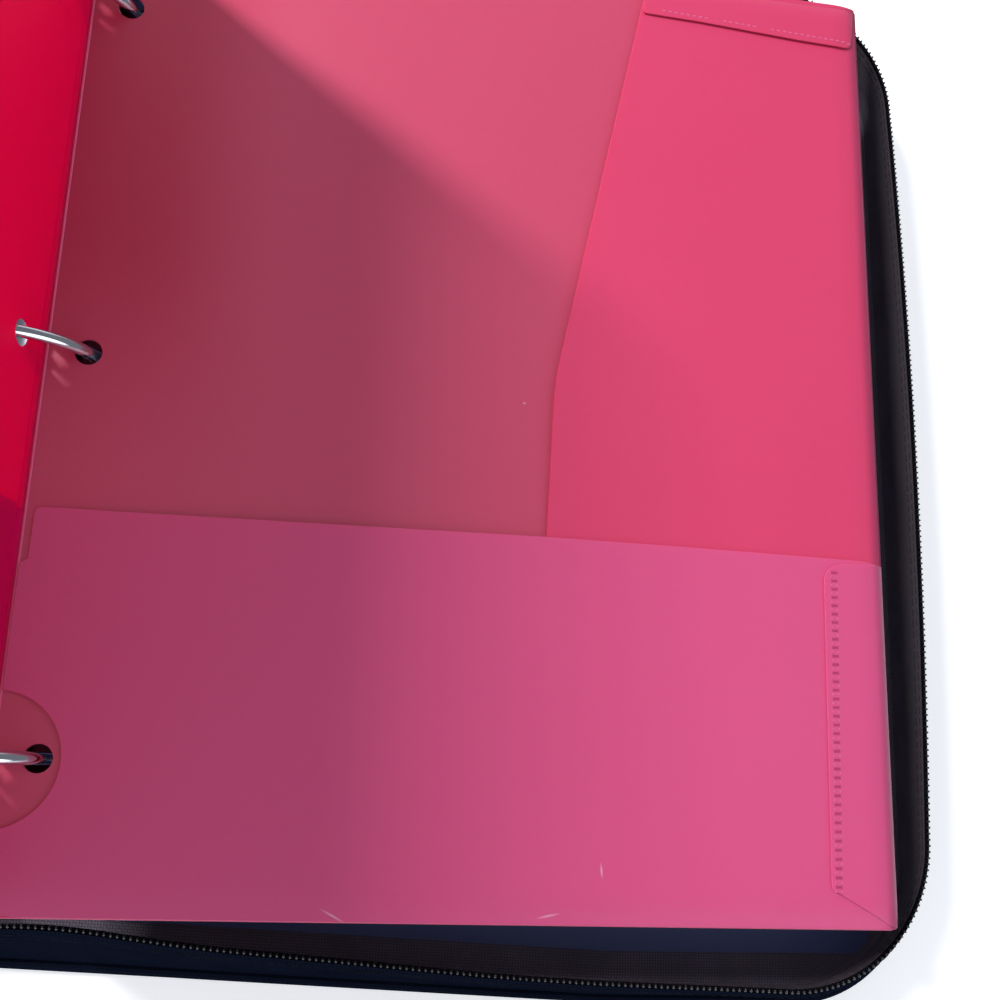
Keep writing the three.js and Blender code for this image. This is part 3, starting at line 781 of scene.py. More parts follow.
def rounded_plate(
    across: Point,
    along: Point,
    layer: Point,
    rim: float,
    corner: float = 0.0,
    near_corner: float = 0.0,
) -> Mesh:
    """Shapes a flat plate with rounded corners and softened rims.

    Args:
        across: Its least and greatest X.
        along: Its least and greatest Y.
        layer: Heights of its underside and top.
        rim: Size of the softened rim.
        corner: Radius of the corners at the far side in X.
        near_corner: Radius of the corners at the near side in X.

    Returns:
        The plate.
    """
    low, high = (Vector(point) for point in zip(across, along, layer))
    size = high - low
    bm = bmesh.new()
    bmesh.ops.create_cube(bm, size=1.0)
    bmesh.ops.scale(bm, vec=size, verts=bm.verts)
    bmesh.ops.translate(bm, vec=(high + low) / 2, verts=bm.verts)
    for radius, at in ((corner, high.x), (near_corner, low.x)):
        if radius > 0:
            uprights = [
                e
                for e in bm.edges
                if all(abs(v.co.x - at) < 1e-4 for v in e.verts)
                and abs(e.verts[0].co.z - e.verts[1].co.z) > size.z / 2
            ]
            bevelled(bm, uprights, radius, segments=16)
    flats = [f for f in bm.faces if abs(f.normal.z) > 0.9]
    bevelled(bm, list({e for f in flats for e in f.edges}), rim, segments=2)
    flat_uv(bm)
    return bm


def lozenge(along: float, across: float, tall: float, ease: float) -> Mesh:
    """Shapes a small block with eased edges, for shapes that are repeated often.

    Args:
        along: Length of the block.
        across: Its width.
        tall: Its height.
        ease: Size of its eased edges.

    Returns:
        The block about its own middle.
    """
    bm = bmesh.new()
    bmesh.ops.create_cube(bm, size=1.0)
    bmesh.ops.scale(bm, vec=(along, across, tall), verts=bm.verts)
    bevelled(bm, bm.edges[:], ease, segments=1)
    return bm


def repeated(shape: Mesh, places: Iterable[Matrix]) -> Mesh:
    """Copies a small shape to many places in one mesh.

    Args:
        shape: The shape about its own origin.
        places: Where each copy goes.

    Returns:
        All the copies.
    """
    stamp = bpy.data.meshes.new("stamp")
    shape.to_mesh(stamp)
    shape.free()
    joined = bmesh.new()
    for place in places:
        stamp.transform(place)
        joined.from_mesh(stamp)
        stamp.transform(place.inverted())
    bpy.data.meshes.remove(stamp)
    return joined


def merged_copy(node: str) -> Mesh:
    """Copies a CAD node's mesh in millimetres and merges its loose triangles.

    Args:
        node: Name of the CAD node.

    Returns:
        The merged copy.
    """
    bm = bmesh.new()
    bm.from_mesh(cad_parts[node].data)
    bmesh.ops.scale(bm, vec=(1 / MM,) * 3, verts=bm.verts)
    bmesh.ops.remove_doubles(bm, verts=bm.verts, dist=0.001)
    bmesh.ops.dissolve_limit(
        bm, angle_limit=math.radians(0.5), verts=bm.verts, edges=bm.edges
    )
    return bm


def added(bm: Mesh, other: Mesh) -> Mesh:
    """Adds another mesh to the first one.

    Args:
        bm: Mesh that gets the other's faces.
        other: The other mesh, which is freed.

    Returns:
        The first mesh.
    """
    spare = bpy.data.meshes.new("spare")
    other.to_mesh(spare)
    other.free()
    bm.from_mesh(spare)
    bpy.data.meshes.remove(spare)
    return bm


def finished(
    name: str,
    bm: Mesh,
    finish: Finish,
    body: str | None,
    replaces: Sequence[str] = (),
    turn: Matrix | None = None,
    crease: float = SHARP_ANGLE,
) -> bpy.types.Object:
    """Turns a shaped mesh into a dressed piece that rides on a body.

    Args:
        name: Piece's name.
        bm: Mesh in millimetres.
        finish: Its finish.
        body: Body that it rides on, or None where it rides on no body.
        replaces: CAD nodes that it stands for.
        turn: Move that is made before the mesh is scaled to metres.
        crease: Angle in degrees above which an edge stays sharp.

    Returns:
        The piece's object.
    """
    bm.transform(Matrix.Scale(MM, 4) @ (turn or Matrix.Identity(4)))
    for face in bm.faces:
        face.smooth = True
    for edge in bm.edges:
        edge.smooth = (
            len(edge.link_faces) == 2 and edge.calc_face_angle(0.0) < math.radians(crease)
        )
    mesh = bpy.data.meshes.new(name)
    bm.to_mesh(mesh)
    bm.free()
    mesh.materials.append(finish.material())
    piece = bpy.data.objects.new(name, mesh)
    bpy.context.scene.collection.objects.link(piece)
    if body:
        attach(piece, body)
    if replaces:
        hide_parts(*replaces)
    log.info("%s: %d faces on %s", name, len(mesh.polygons), body or "two bodies")
    return piece


def eased(piece: bpy.types.Object, width_mm: float, segments: int = 2) -> None:
    """Rounds a piece's sharp edges with a bevel.

    Args:
        piece: The piece.
        width_mm: Width of the bevel in millimetres.
        segments: Number of its segments.
    """
    bevel = piece.modifiers.new("eased_edges", "BEVEL")
    bevel.width = width_mm * MM
    bevel.segments = segments
    bevel.limit_method = "ANGLE"
    bevel.angle_limit = math.radians(SHARP_ANGLE)


# The case


@dataclass(frozen=True)
class EdgeLine:
    """A U-shaped line round a cover: foot run, corner, fore edge, corner, head run."""

    start: float
    reach: float
    half: float
    radius: float
    taper: float
    knee: float
    crown: float = 0.0
    bow: float = 0.0
    bow_at: float = 220.0
    bow_width: float = 60.0
    dip: float = 0.0
    dip_at: float = 92.0
    dip_width: float = 26.0

    def run(self, x: float) -> float:
        """Finds how far the runs lie from the middle of the cover.

        Args:
            x: Distance from the middle of the spine.

        Returns:
            The runs' distance there.
        """
        bow = self.bow * math.exp(-(((x - self.bow_at) / self.bow_width) ** 2))
        dip = self.dip * math.exp(-(((x - self.dip_at) / self.dip_width) ** 2))
        return self.half - max(0.0, self.knee - x) * self.taper + bow - dip

    def at(self, turn: float) -> tuple[Vector, Vector]:
        """Finds a point of the line.

        Args:
            turn: Share of the line, with one unit for each of its five stretches.

        Returns:
            The point and the outward direction there.
        """
        bend_x = self.reach - self.crown - self.radius
        bend_y = self.run(bend_x) - self.radius
        stretch = min(int(turn), 4)
        t = turn - stretch
        if stretch in (0, 4):
            side = -1 if stretch == 0 else 1
            x = self.start + (bend_x - self.start) * (t if stretch == 0 else 1 - t)
            inside = x > self.start + 1.0
            slope = self.run(x) - self.run(x - 1.0) if inside else self.taper
            return Vector((x, side * self.run(x))), Vector((-slope, side)).normalized()
        if stretch == 2:
            x = self.reach - self.crown * (2 * t - 1) ** 2
            return Vector((x, bend_y * (2 * t - 1))), Vector((1.0, 0.0))
        side = -1 if stretch == 1 else 1
        angle = math.pi / 2 * (t - 1 if stretch == 1 else t)
        out = Vector((math.cos(angle), math.sin(angle)))
        return Vector((bend_x, side * bend_y)) + out * self.radius, out


@dataclass(frozen=True)
class WallSurface:
    """The surface that a cover's soft wall, tape and teeth follow."""

    start: float
    low: float = 1.5
    high: float = 33.6
    bulge: float = 6.0
    curve: float = 1.7

    @cached_property
    def foot(self) -> EdgeLine:
        """The line along the wall's foot."""
        return EdgeLine(
            self.start, reach=338.5, half=163.7, radius=34.6, taper=0.047, knee=245.0
        )

    @cached_property
    def mouth(self) -> EdgeLine:
        """The line along the zip's mouth."""
        return EdgeLine(
            self.start,
            reach=336.0,
            half=159.92,
            radius=42.0,
            taper=0.0585,
            knee=291.4,
            crown=2.6,
            bow=1.8,
            dip=2.3,
        )

    def place(self, turn: float, height: float, out: float) -> Vector:
        """Finds a point beside the surface.

        Args:
            turn: Share of the line round the cover, from 0 to 5.
            height: Height above the table.
            out: Distance outwards from the surface.

        Returns:
            The point.
        """
        rise = (height - self.low) / (self.high - self.low)
        lean = 1 - max(0.0, 1 - rise) ** self.curve
        (a, na), (b, nb) = self.foot.at(turn), self.mouth.at(turn)
        reach = out + self.bulge * rise * (1 - rise) ** 2
        spot = a.lerp(b, lean) + na.lerp(nb, lean).normalized() * reach
        return Vector((spot.x, spot.y, height))

    @cached_property
    def table(self) -> tuple[list[float], list[float]]:
        """Distances along the mouth and the turns they belong to."""
        turns = [5 * k / 600 for k in range(601)]
        points = [self.place(t, self.high, 0.0) for t in turns]
        return run_lengths(points), turns

    @property
    def length(self) -> float:
        """Length of the mouth line."""
        return self.table[0][-1]

    def turn_at(self, distance: float) -> float:
        """Finds the turn at a distance along the mouth line.

        Args:
            distance: The distance.

        Returns:
            Share of the line, from 0 to 5.
        """
        lengths, turns = self.table
        k = min(max(bisect_right(lengths, distance) - 1, 0), len(lengths) - 2)
        share = (distance - lengths[k]) / (lengths[k + 1] - lengths[k])
        return turns[k] + (turns[k + 1] - turns[k]) * min(max(share, 0.0), 1.0)

    def frame_at(self, distance: float, height: float, out: float) -> Matrix:
        """Axes along the line, outwards and up the surface, at a point beside it.

        Args:
            distance: Distance along the mouth line.
            height: Height above the table.
            out: Distance outwards from the surface.

        Returns:
            Matrix whose X runs along the line and Y points outwards.
        """
        turn = self.turn_at(distance)
        spot = self.place(turn, height, out)
        along = self.place(self.turn_at(distance + 0.6), height, out) - self.place(
            self.turn_at(distance - 0.6), height, out
        )
        up = self.place(turn, height + 0.3, out) - self.place(turn, height - 0.3, out)
        along.normalize()
        outward = along.cross(up).normalized()
        axes = Matrix((along, outward, along.cross(-outward).normalized())).transposed()
        if axes.determinant() < 0:
            axes = Matrix((along, outward, -axes.col[2])).transposed()
        return Matrix.Translation(spot) @ axes.to_4x4()

    def swept(
        self,
        profile: Sequence[Point],
        begin: float,
        end: float,
        spacing: float,
        ripple: Callable[[float, float], float] | None = None,
    ) -> Mesh:
        """Sweeps a closed outline round the cover.

        Args:
            profile: Outline as outward offsets and heights.
            begin: Distance at which the sweep starts.
            end: Distance at which it ends.
            spacing: Distance between its stations.
            ripple: Extra outward offset for a distance and height.

        Returns:
            The closed sweep.
        """
        columns = max(2, round((end - begin) / spacing))
        rows = len(profile)
        ring = [Vector(p) for p in profile]
        round_it = run_lengths([*ring, ring[0]])
        distances = [begin + (end - begin) * k / columns for k in range(columns + 1)]
        turns = [self.turn_at(d) for d in distances]

        def place(column: int, row: int) -> Vector:
            """Point of the sweep at a station and a point of its outline."""
            out, height = profile[row % rows]
            if ripple:
                out += ripple(distances[column], height)
            return self.place(turns[column], height, out)

        return closed_up(
            gridded(columns, rows, place, lambda c, r: (distances[c], round_it[r]))
        )


@dataclass(frozen=True)
class Sheet:
    """A flat layer of the case, such as its cloth or its board."""

    name: str
    node: str
    finish: Finish
    layer: Point
    across: Point
    half: float
    rim: float
    corner: float = 0.0
    near_corner: float = 0.0

    def plate(self) -> Mesh:
        """Shapes the sheet as a plate."""
        along = (-self.half, self.half)
        return rounded_plate(
            self.across, along, self.layer, self.rim, self.corner, self.near_corner
        )


# Heights of the underside and the top of the cloth, the board and the vinyl
CLOTH_Z, BOARD_Z, LINER_Z = (0.0, 1.2), (1.5, 3.0), (3.3, 3.8)


@dataclass
class Cover:
    """One cover: cloth, board and vinyl, a soft wall round three edges, half a zip."""

    side: CoverSide
    zip_start: float
    wall_start: float = 36.0
    tooth_pitch: float = 1.7
    tooth_height: float = 32.7
    teeth_inset: float = 2.7
    welt_inset: float = 2.4
    stitch_pitch: float = 3.3
    sheets: tuple[Sheet, ...] = (
        Sheet(
            "outer_cloth", "outer_panel", CANVAS, CLOTH_Z, (34.2, 343.9), 169.1, 0.5, 40
        ),
        Sheet("pressed_board", "board", BOARD, BOARD_Z, (34.6, 330.4), 155.6, 0.2, 24),
        Sheet("inner_vinyl", "liner", VINYL, LINER_Z, (38.2, 327.7), 154.5, 0.15, 5, 5),
    )

    def __post_init__(self) -> None:
        """Lays out the surfaces that the wall and the zip follow."""
        self.wall = WallSurface(self.wall_start)
        self.zip = WallSurface(self.zip_start)

    def piece(
        self,
        name: str,
        bm: Mesh,
        finish: Finish,
        nodes: Sequence[str] = (),
        crease: float = SHARP_ANGLE,
    ) -> bpy.types.Object:
        """Finishes a piece of this cover under the cover's name.

        Args:
            name: Piece's name without the cover's.
            bm: Mesh in millimetres.
            finish: Its finish.
            nodes: CAD nodes that it stands for, without the cover's name.
            crease: Angle in degrees above which an edge stays sharp.

        Returns:
            The piece's object.
        """
        label, body, turn = self.side.label, self.side.body, self.side.turn
        nodes = [f"{label}_{node}" for node in nodes]
        return finished(f"{label}_{name}", bm, finish, body, nodes, turn, crease)

    def build(self) -> None:
        """Builds and dresses every piece of the cover."""
        for sheet in self.sheets:
            bm = self.waisted(sheet.plate(), sheet.half)
            self.piece(sheet.name, bm, sheet.finish, [sheet.node])
        self.walls()
        self.zip_half()
        self.stops()

    def waisted(self, bm: Mesh, half: float) -> Mesh:
        """Draws a plate in towards the spine, as the wall's foot is.

        Args:
            bm: The plate.
            half: Half of its length at the fore edge.

        Returns:
            The plate.
        """
        foot = self.wall.foot
        bmesh.ops.bisect_plane(
            bm,
            geom=bm.verts[:] + bm.edges[:] + bm.faces[:],
            dist=0.001,
            plane_co=(foot.knee, 0.0, 0.0),
            plane_no=(1.0, 0.0, 0.0),
        )
        for vert in bm.verts:
            vert.co.y *= 1 - foot.taper * max(0.0, foot.knee - vert.co.x) / half
        flat_uv(bm)
        return bm

    def sewn(
        self,
        name: str,
        surface: WallSurface,
        rows: Sequence[Point],
        size: tuple[float, float, float, float],
        finish: Finish,
    ) -> None:
        """Sews rows of stitches along a surface.

        Args:
            name: Piece's name.
            surface: The wall's or the zip's surface.
            rows: Height and outward distance of each row.
            size: Length, width, height and eased edge of a stitch.
            finish: The thread's finish.
        """
        places = [
            surface.frame_at(self.stitch_pitch * (k + 0.8), height, out)
            for k in range(int(surface.length / self.stitch_pitch) - 1)
            for height, out in rows
        ]
        self.piece(name, repeated(lozenge(*size), places), finish, crease=STITCH_ANGLE)

    def walls(self) -> None:
        """Builds the padded wall with its welt, piping, end bindings and stitches."""
        wall, length = self.wall, self.wall.length
        padded = [
            (0.72, 1.6), (3.2, 1.6), (3.05, 4.1), (2.6, 6.8), (2.45, 14.0),
            (2.3, 24.6), (2.05, 25.3), (2.25, 26.0), (1.95, 28.4), (0.85, 31.1),
            (0.72, 29.0), (0.72, 15.0),
        ]  # fmt: skip

        def puckers(distance: float, height: float) -> float:
            """Slight pulls of the cloth towards its seams."""
            share = (height - 1.5) / 32.0
            pull = math.sin(distance / 5.1) * math.sin(distance / 13.7 + 1.1)
            return 0.16 * pull * share * (1 - share) * 4

        padded = softened(padded, radius=0.35, steps=2)
        soft_wall = wall.swept(padded, 0.0, length, spacing=3.0, ripple=puckers)
        self.piece("soft_wall", soft_wall, CANVAS, ["wall"])
        welt = [
            (0.64, 16.5), (0.6, 7.0), (0.1, 5.0), (-1.0, 4.0), (-3.0, 3.6),
            (-9.6, 3.3), (-9.6, 3.05), (-3.0, 3.3), (-0.8, 3.75), (0.25, 5.2),
            (0.44, 16.5), (0.42, 13.0),
        ]  # fmt: skip
        inset = self.welt_inset
        welt = wall.swept(welt, inset, length - inset, spacing=3.2)
        self.piece("inner_welt", welt, LINING)
        cord = arc_points((4.175, 2.7), 1.2, 0.0, 2 * math.pi, 10)[:-1]
        piping = wall.swept(cord, 0.0, length, spacing=2.6)
        self.piece("edge_piping", piping, TRIM, ["piping"])
        ends = bmesh.new()
        for turn in (0.0, 5.0):
            path = [wall.place(turn, 1.9 + 27.6 * k / 12, 1.45) for k in range(13)]
            ends = added(ends, tube(path, radius=1.35, sides=10))
        self.piece("wall_end_binding", ends, TRIM)
        rows = ((27.4, 2.1), (23.6, 2.36))
        self.sewn("wall_stitching", wall, rows, (2.3, 0.3, 0.42, 0.12), THREAD)

    def zip_half(self) -> None:
        """Builds the zip tape, its seam, its cord and the coil."""
        length = self.zip.length
        tape = softened([(-0.4, 16.6), (0.4, 16.6), (0.4, 31.6), (-0.4, 31.6)], 0.18, 1)
        outside, inside = [(0.4, 21.5), (0.4, 26.5)], [(-0.4, 26.5), (-0.4, 21.5)]
        tape = [*tape[:4], *outside, *tape[4:], *inside]

        def ripple(distance: float, height: float) -> float:
            """The loose lower hem of the tape waves slightly inwards."""
            loose = max(0.0, (24.0 - height) / 8.0)
            wave = math.sin(distance / 7.3) * math.cos(distance / 19.0)
            return -loose * 0.35 * (1 + wave)

        cloth = self.zip.swept(tape, 0.0, length, spacing=3.0, ripple=ripple)
        self.piece("zip_tape_cloth", cloth, TAPE, ["zip_tape"])
        rows = ((27.2, -0.42), (29.6, -0.42))
        self.sewn("zip_seam", self.zip, rows, (2.2, 0.28, 0.4, 0.1), SEAM)
        begin, pitch = self.teeth_inset, self.tooth_pitch
        cord = softened([(-0.6, 31.4), (0.6, 31.4), (0.5, 32.3), (-0.5, 32.3)], 0.25, 2)
        cord = self.zip.swept(cord, begin, length - begin, spacing=3.0)
        self.piece("zip_cord", cord, CORD)
        teeth = [
            self.zip.frame_at(begin + pitch * (k + 0.5), self.tooth_height, 0.0)
            for k in range(int((length - 2 * begin) / pitch))
        ]
        coil = repeated(lozenge(0.62, 1.05, 1.3, 0.26), teeth)
        self.piece("zip_teeth", coil, COIL, ["zip_coil"], crease=STITCH_ANGLE)

    def stops(self) -> None:
        """Rounds the clamped end stops of the zip."""
        for end in End:
            node = f"{self.side.label}_{end.label}_stop"
            clamp, body = merged_copy(node), self.side.body
            clamp = finished(f"{node}_clamp", clamp, ZINC, body, [node])
            eased(clamp, width_mm=0.45)


@dataclass
class Spine:
    """The spine with its hems, and the cloth folds that join it to both covers."""

    plate: float = 29.8
    cover: float = 34.2
    half: float = 159.1
    hem_across: Point = (-29.6, 29.6)
    hem_length: float = 4.9
    hem_layer: Point = (0.9, 4.3)
    gutter_inset: float = 3.0
    bend_height: float = 1.6
    sheets: tuple[Sheet, ...] = (
        Sheet("outer_cloth", "outer_panel", CANVAS, CLOTH_Z, (-29.8, 29.8), 159.1, 0.3),
        Sheet("inner_vinyl", "liner", VINYL, LINER_Z, (-29.5, 29.5), 155.1, 0.15),
        Sheet("pressed_board", "board", BOARD, BOARD_Z, (-29.4, 29.4), 155.1, 0.2),
    )

    def build(self) -> None:
        """Builds and dresses every piece of the spine."""
        for sheet in self.sheets:
            name, node = f"spine_{sheet.name}", f"spine_{sheet.node}"
            finished(name, sheet.plate(), sheet.finish, "spine_case", [node])
        hems = bmesh.new()
        for end in End:
            tips = sorted(end.value * y for y in (self.half - self.hem_length, self.half))
            hem = rounded_plate(self.hem_across, tips, self.hem_layer, rim=0.7)
            hems = added(hems, hem)
        finished("spine_hems", hems, TRIM, "spine_case")
        for side in CoverSide:
            self.fold(side)

    def fold(self, side: CoverSide) -> None:
        """Builds the outer cloth and the inner gutter where the spine meets a cover.

        Args:
            side: The cover.
        """
        outer = [
            (29.7, 0.02), (34.3, 0.02), (34.3, 1.1),
            (33.0, 1.35), (31.0, 1.35), (29.7, 1.1),
        ]  # fmt: skip
        inner = [
            (28.2, 4.15), (29.6, 4.1), (30.6, 3.2), (31.4, 2.35),
            (32.6, 2.35), (33.4, 3.2), (34.5, 4.05), (38.6, 4.15),
            (38.6, 3.84), (34.7, 3.7), (33.7, 2.75), (32.8, 1.95),
            (31.2, 1.95), (30.3, 2.75), (29.4, 3.82), (28.2, 3.84),
        ]  # fmt: skip
        for name, profile, finish, half, nodes in (
            ("fold_cloth", outer, CANVAS, self.half, [f"{side.label}_hinge"]),
            ("gutter_vinyl", inner, VINYL, self.half - self.gutter_inset, []),
        ):
            bm = self.strip(profile, half)
            piece = finished(f"{side.label}_{name}", bm, finish, None, nodes, side.turn)
            side.body
            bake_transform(piece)

    def strip(self, profile: Sequence[Point], half: float) -> Mesh:
        """Sweeps a section along the spine.

        Args:
            profile: Section's X and Z.
            half: Half of the strip's length.

        Returns:
            The closed strip.
        """
        rows = len(profile)
        ring = [Vector(p) for p in profile]
        lengths = run_lengths([*ring, ring[0]])
        columns = 40

        def place(column: int, row: int) -> Vector:
            """Point of the strip at a station and a point of its section."""
            x, z = profile[row % rows]
            return Vector((x, -half + 2 * half * column / columns, z))

        return closed_up(
            gridded(
                columns, rows, place, lambda c, r: (2 * half * c / columns, lengths[r])
            )
        )


# The ring mechanism


@dataclass
class RingMechanism:
    """Three wire rings on blades under an arched housing, opened by finger levers."""

    centre_x: float = 63.9
    centre_y: float = 3.7
    centre_z: float = 33.93
    radius: float = 27.1
    wire: float = 1.68
    blade_drop: float = 3.5
    joint_gap: float = 0.15
    pitch: float = 107.95
    base: float = 4.1
    half_width: float = 10.5
    rise: float = 9.2
    shell: float = 1.0
    length: float = 277.0
    slot_inner: float = 4.5
    slot_half: float = 1.98
    # Size, heights and corners of the near-black pad, painted shade under the rings
    shade_pad_across: Point = (50.0, 98.0)
    shade_pad_layer: Point = (3.79, 4.06)
    shade_pad_corner: float = 2.0
    lever_reach: float = 0.9

    @property
    def tips(self) -> Point:
        """Where the housing begins and ends along the spine."""
        return self.centre_y - self.length / 2, self.centre_y + self.length / 2

    def build(self) -> None:
        """Builds and dresses every piece of the mechanism."""
        self.arch()
        self.rivets()
        # Painted shade: a near-black pad under the rings stands for the folder's shade on
        # the liner there
        corner = self.shade_pad_corner
        shade_pad = rounded_plate(
            self.shade_pad_across, self.tips, self.shade_pad_layer, 0.08, corner, corner
        )
        finished("ring_pad", shade_pad, SHADE_PAD, "back_case")
        for hand in Hand:
            for step, place in ((-1, "foot"), (0, "middle"), (1, "head")):
                name, node = f"{hand.label}_{place}_wire", f"{hand.label}_ring_{place}"
                wire_half, body = self.half_ring(hand, step), f"{hand.label}_rings"
                finished(name, wire_half, NICKEL, body, [node], crease=50.0)
            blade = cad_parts[f"{hand.label}_blade"]
            blade.data.materials.clear()
            blade.data.materials.append(GUNMETAL.material())
        for end, near in zip(End, self.tips):
            label = f"{end.label}_lever"
            paddle = merged_copy(label)
            for vert in paddle.verts:
                if end.value * (vert.co.y - near) > 0.0:
                    vert.co.y = near + (vert.co.y - near) * self.lever_reach
            paddle = finished(f"{label}_paddle", paddle, NICKEL, label, [label])
            eased(paddle, width_mm=0.35, segments=3)

    def half_ring(self, hand: Hand, step: int) -> Mesh:
        """Spins the wire of half a ring from its blade up to the joint.

        Args:
            hand: The half.
            step: The ring's place, from -1 at the foot to 1 at the head.

        Returns:
            The wire.
        """
        middle = Vector((self.centre_x, self.centre_y + step * self.pitch, self.centre_z))
        low = math.asin(self.blade_drop / self.radius) - math.pi / 2
        high = math.pi / 2 - self.joint_gap / self.radius
        bm = bmesh.new()
        bmesh.ops.create_circle(bm, segments=20, radius=self.wire)
        tilt, out = Matrix.Rotation(-low, 4, "Y"), Vector((self.radius, 0.0, 0.0))
        start = Matrix.Translation(middle) @ tilt @ Matrix.Translation(out)
        bmesh.ops.transform(bm, matrix=start, verts=bm.verts)
        bmesh.ops.spin(
            bm,
            geom=bm.verts[:] + bm.edges[:],
            cent=middle,
            axis=(0.0, -1.0, 0.0),
            angle=high - low,
            steps=56,
            use_merge=False,
        )
        closed_up(bm)
        ends = [e for e in bm.edges if any(len(f.verts) > 4 for f in e.link_faces)]
        bevelled(bm, ends, size=0.3, segments=2)
        if hand is Hand.LEFT:
            flip = Matrix.Scale(-1.0, 4, (1.0, 0.0, 0.0))
            mirror = Matrix.Translation((2 * self.centre_x, 0.0, 0.0)) @ flip
            bmesh.ops.transform(bm, matrix=mirror, verts=bm.verts)
            bmesh.ops.recalc_face_normals(bm, faces=bm.faces)
        return bm

    def arch(self) -> None:
        """Builds the arched housing with its slots for the wires."""
        slots = [self.centre_y + step * self.pitch for step in (-1, 0, 1)]
        sides = [y + way * self.slot_half for y in slots for way in (-1, 1)]
        cuts = sorted([*self.tips, *sides])
        stations = []
        for low, high in zip(cuts, cuts[1:]):
            pieces = max(1, round((high - low) / 8.0))
            stations += [low + (high - low) * k / pieces for k in range(pieces)]
        stations.append(cuts[-1])
        angles = [math.pi * k / 40 for k in range(41)]
        reach = self.half_width - self.shell / 2
        tall = self.rise - self.shell / 2

        def place(column: int, row: int) -> Vector:
            """Point of the arch at a station and an angle."""
            x = self.centre_x + reach * math.cos(angles[row])
            return Vector((x, stations[column], self.base + tall * math.sin(angles[row])))

        bm = gridded(len(stations) - 1, 40, place, lambda c, r: (stations[c], r * 0.7))
        open_faces = [
            f
            for f in bm.faces
            if abs(f.calc_center_median().x - self.centre_x) > self.slot_inner
            and any(abs(f.calc_center_median().y - y) < self.slot_half for y in slots)
        ]
        bmesh.ops.delete(bm, geom=open_faces, context="FACES")
        bmesh.ops.recalc_face_normals(bm, faces=bm.faces)
        piece = finished("ring_arch", bm, GUNMETAL, "back_case", ["ring_housing"])
        wall = piece.modifiers.new("sheet_metal", "SOLIDIFY")
        wall.thickness = self.shell * MM
        wall.offset = 0.0
        eased(piece, width_mm=0.25)

    def rivets(self) -> None:
        """Spins the two domed rivets."""
        head = self.base + self.rise + 0.3
        profile = [
            (0.0, 1.5), (2.0, 1.5), (2.0, head), (3.8, head), (4.0, head + 0.25),
            (3.7, head + 0.75), (2.9, head + 1.2), (1.6, head + 1.5), (0.0, head + 1.6),
        ]  # fmt: skip
        for end in End:
            y = self.centre_y + end.value * self.pitch / 2
            bm = bmesh.new()
            line = [bm.verts.new((self.centre_x + r, y, z)) for r, z in profile]
            edges = [bm.edges.new(pair) for pair in zip(line, line[1:])]
            bmesh.ops.spin(
                bm,
                geom=line + edges,
                cent=(self.centre_x, y, 0.0),
                axis=(0.0, 0.0, 1.0),
                angle=2 * math.pi,
                steps=28,
                use_merge=True,
            )
            bmesh.ops.remove_doubles(bm, verts=bm.verts, dist=0.001)
            bmesh.ops.recalc_face_normals(bm, faces=bm.faces)
            label = f"{end.label}_rivet"
            finished(f"{label}_dome", bm, NICKEL, "back_case", [label])


@dataclass
class ZipSliders:
    """The two sliders and their pull tabs."""

    slider_ease: float = 0.5
    pull_ease: float = 0.3

    def build(self) -> None:
        """Rounds and dresses the sliders and the pulls."""
        for end in End:
            for part, width in (("slider", self.slider_ease), ("pull", self.pull_ease)):
                node = f"{end.label}_{part}"
                piece = finished(f"{node}_casting", merged_copy(node), ZINC, node, [node])
                eased(piece, width, segments=3)


# The folder


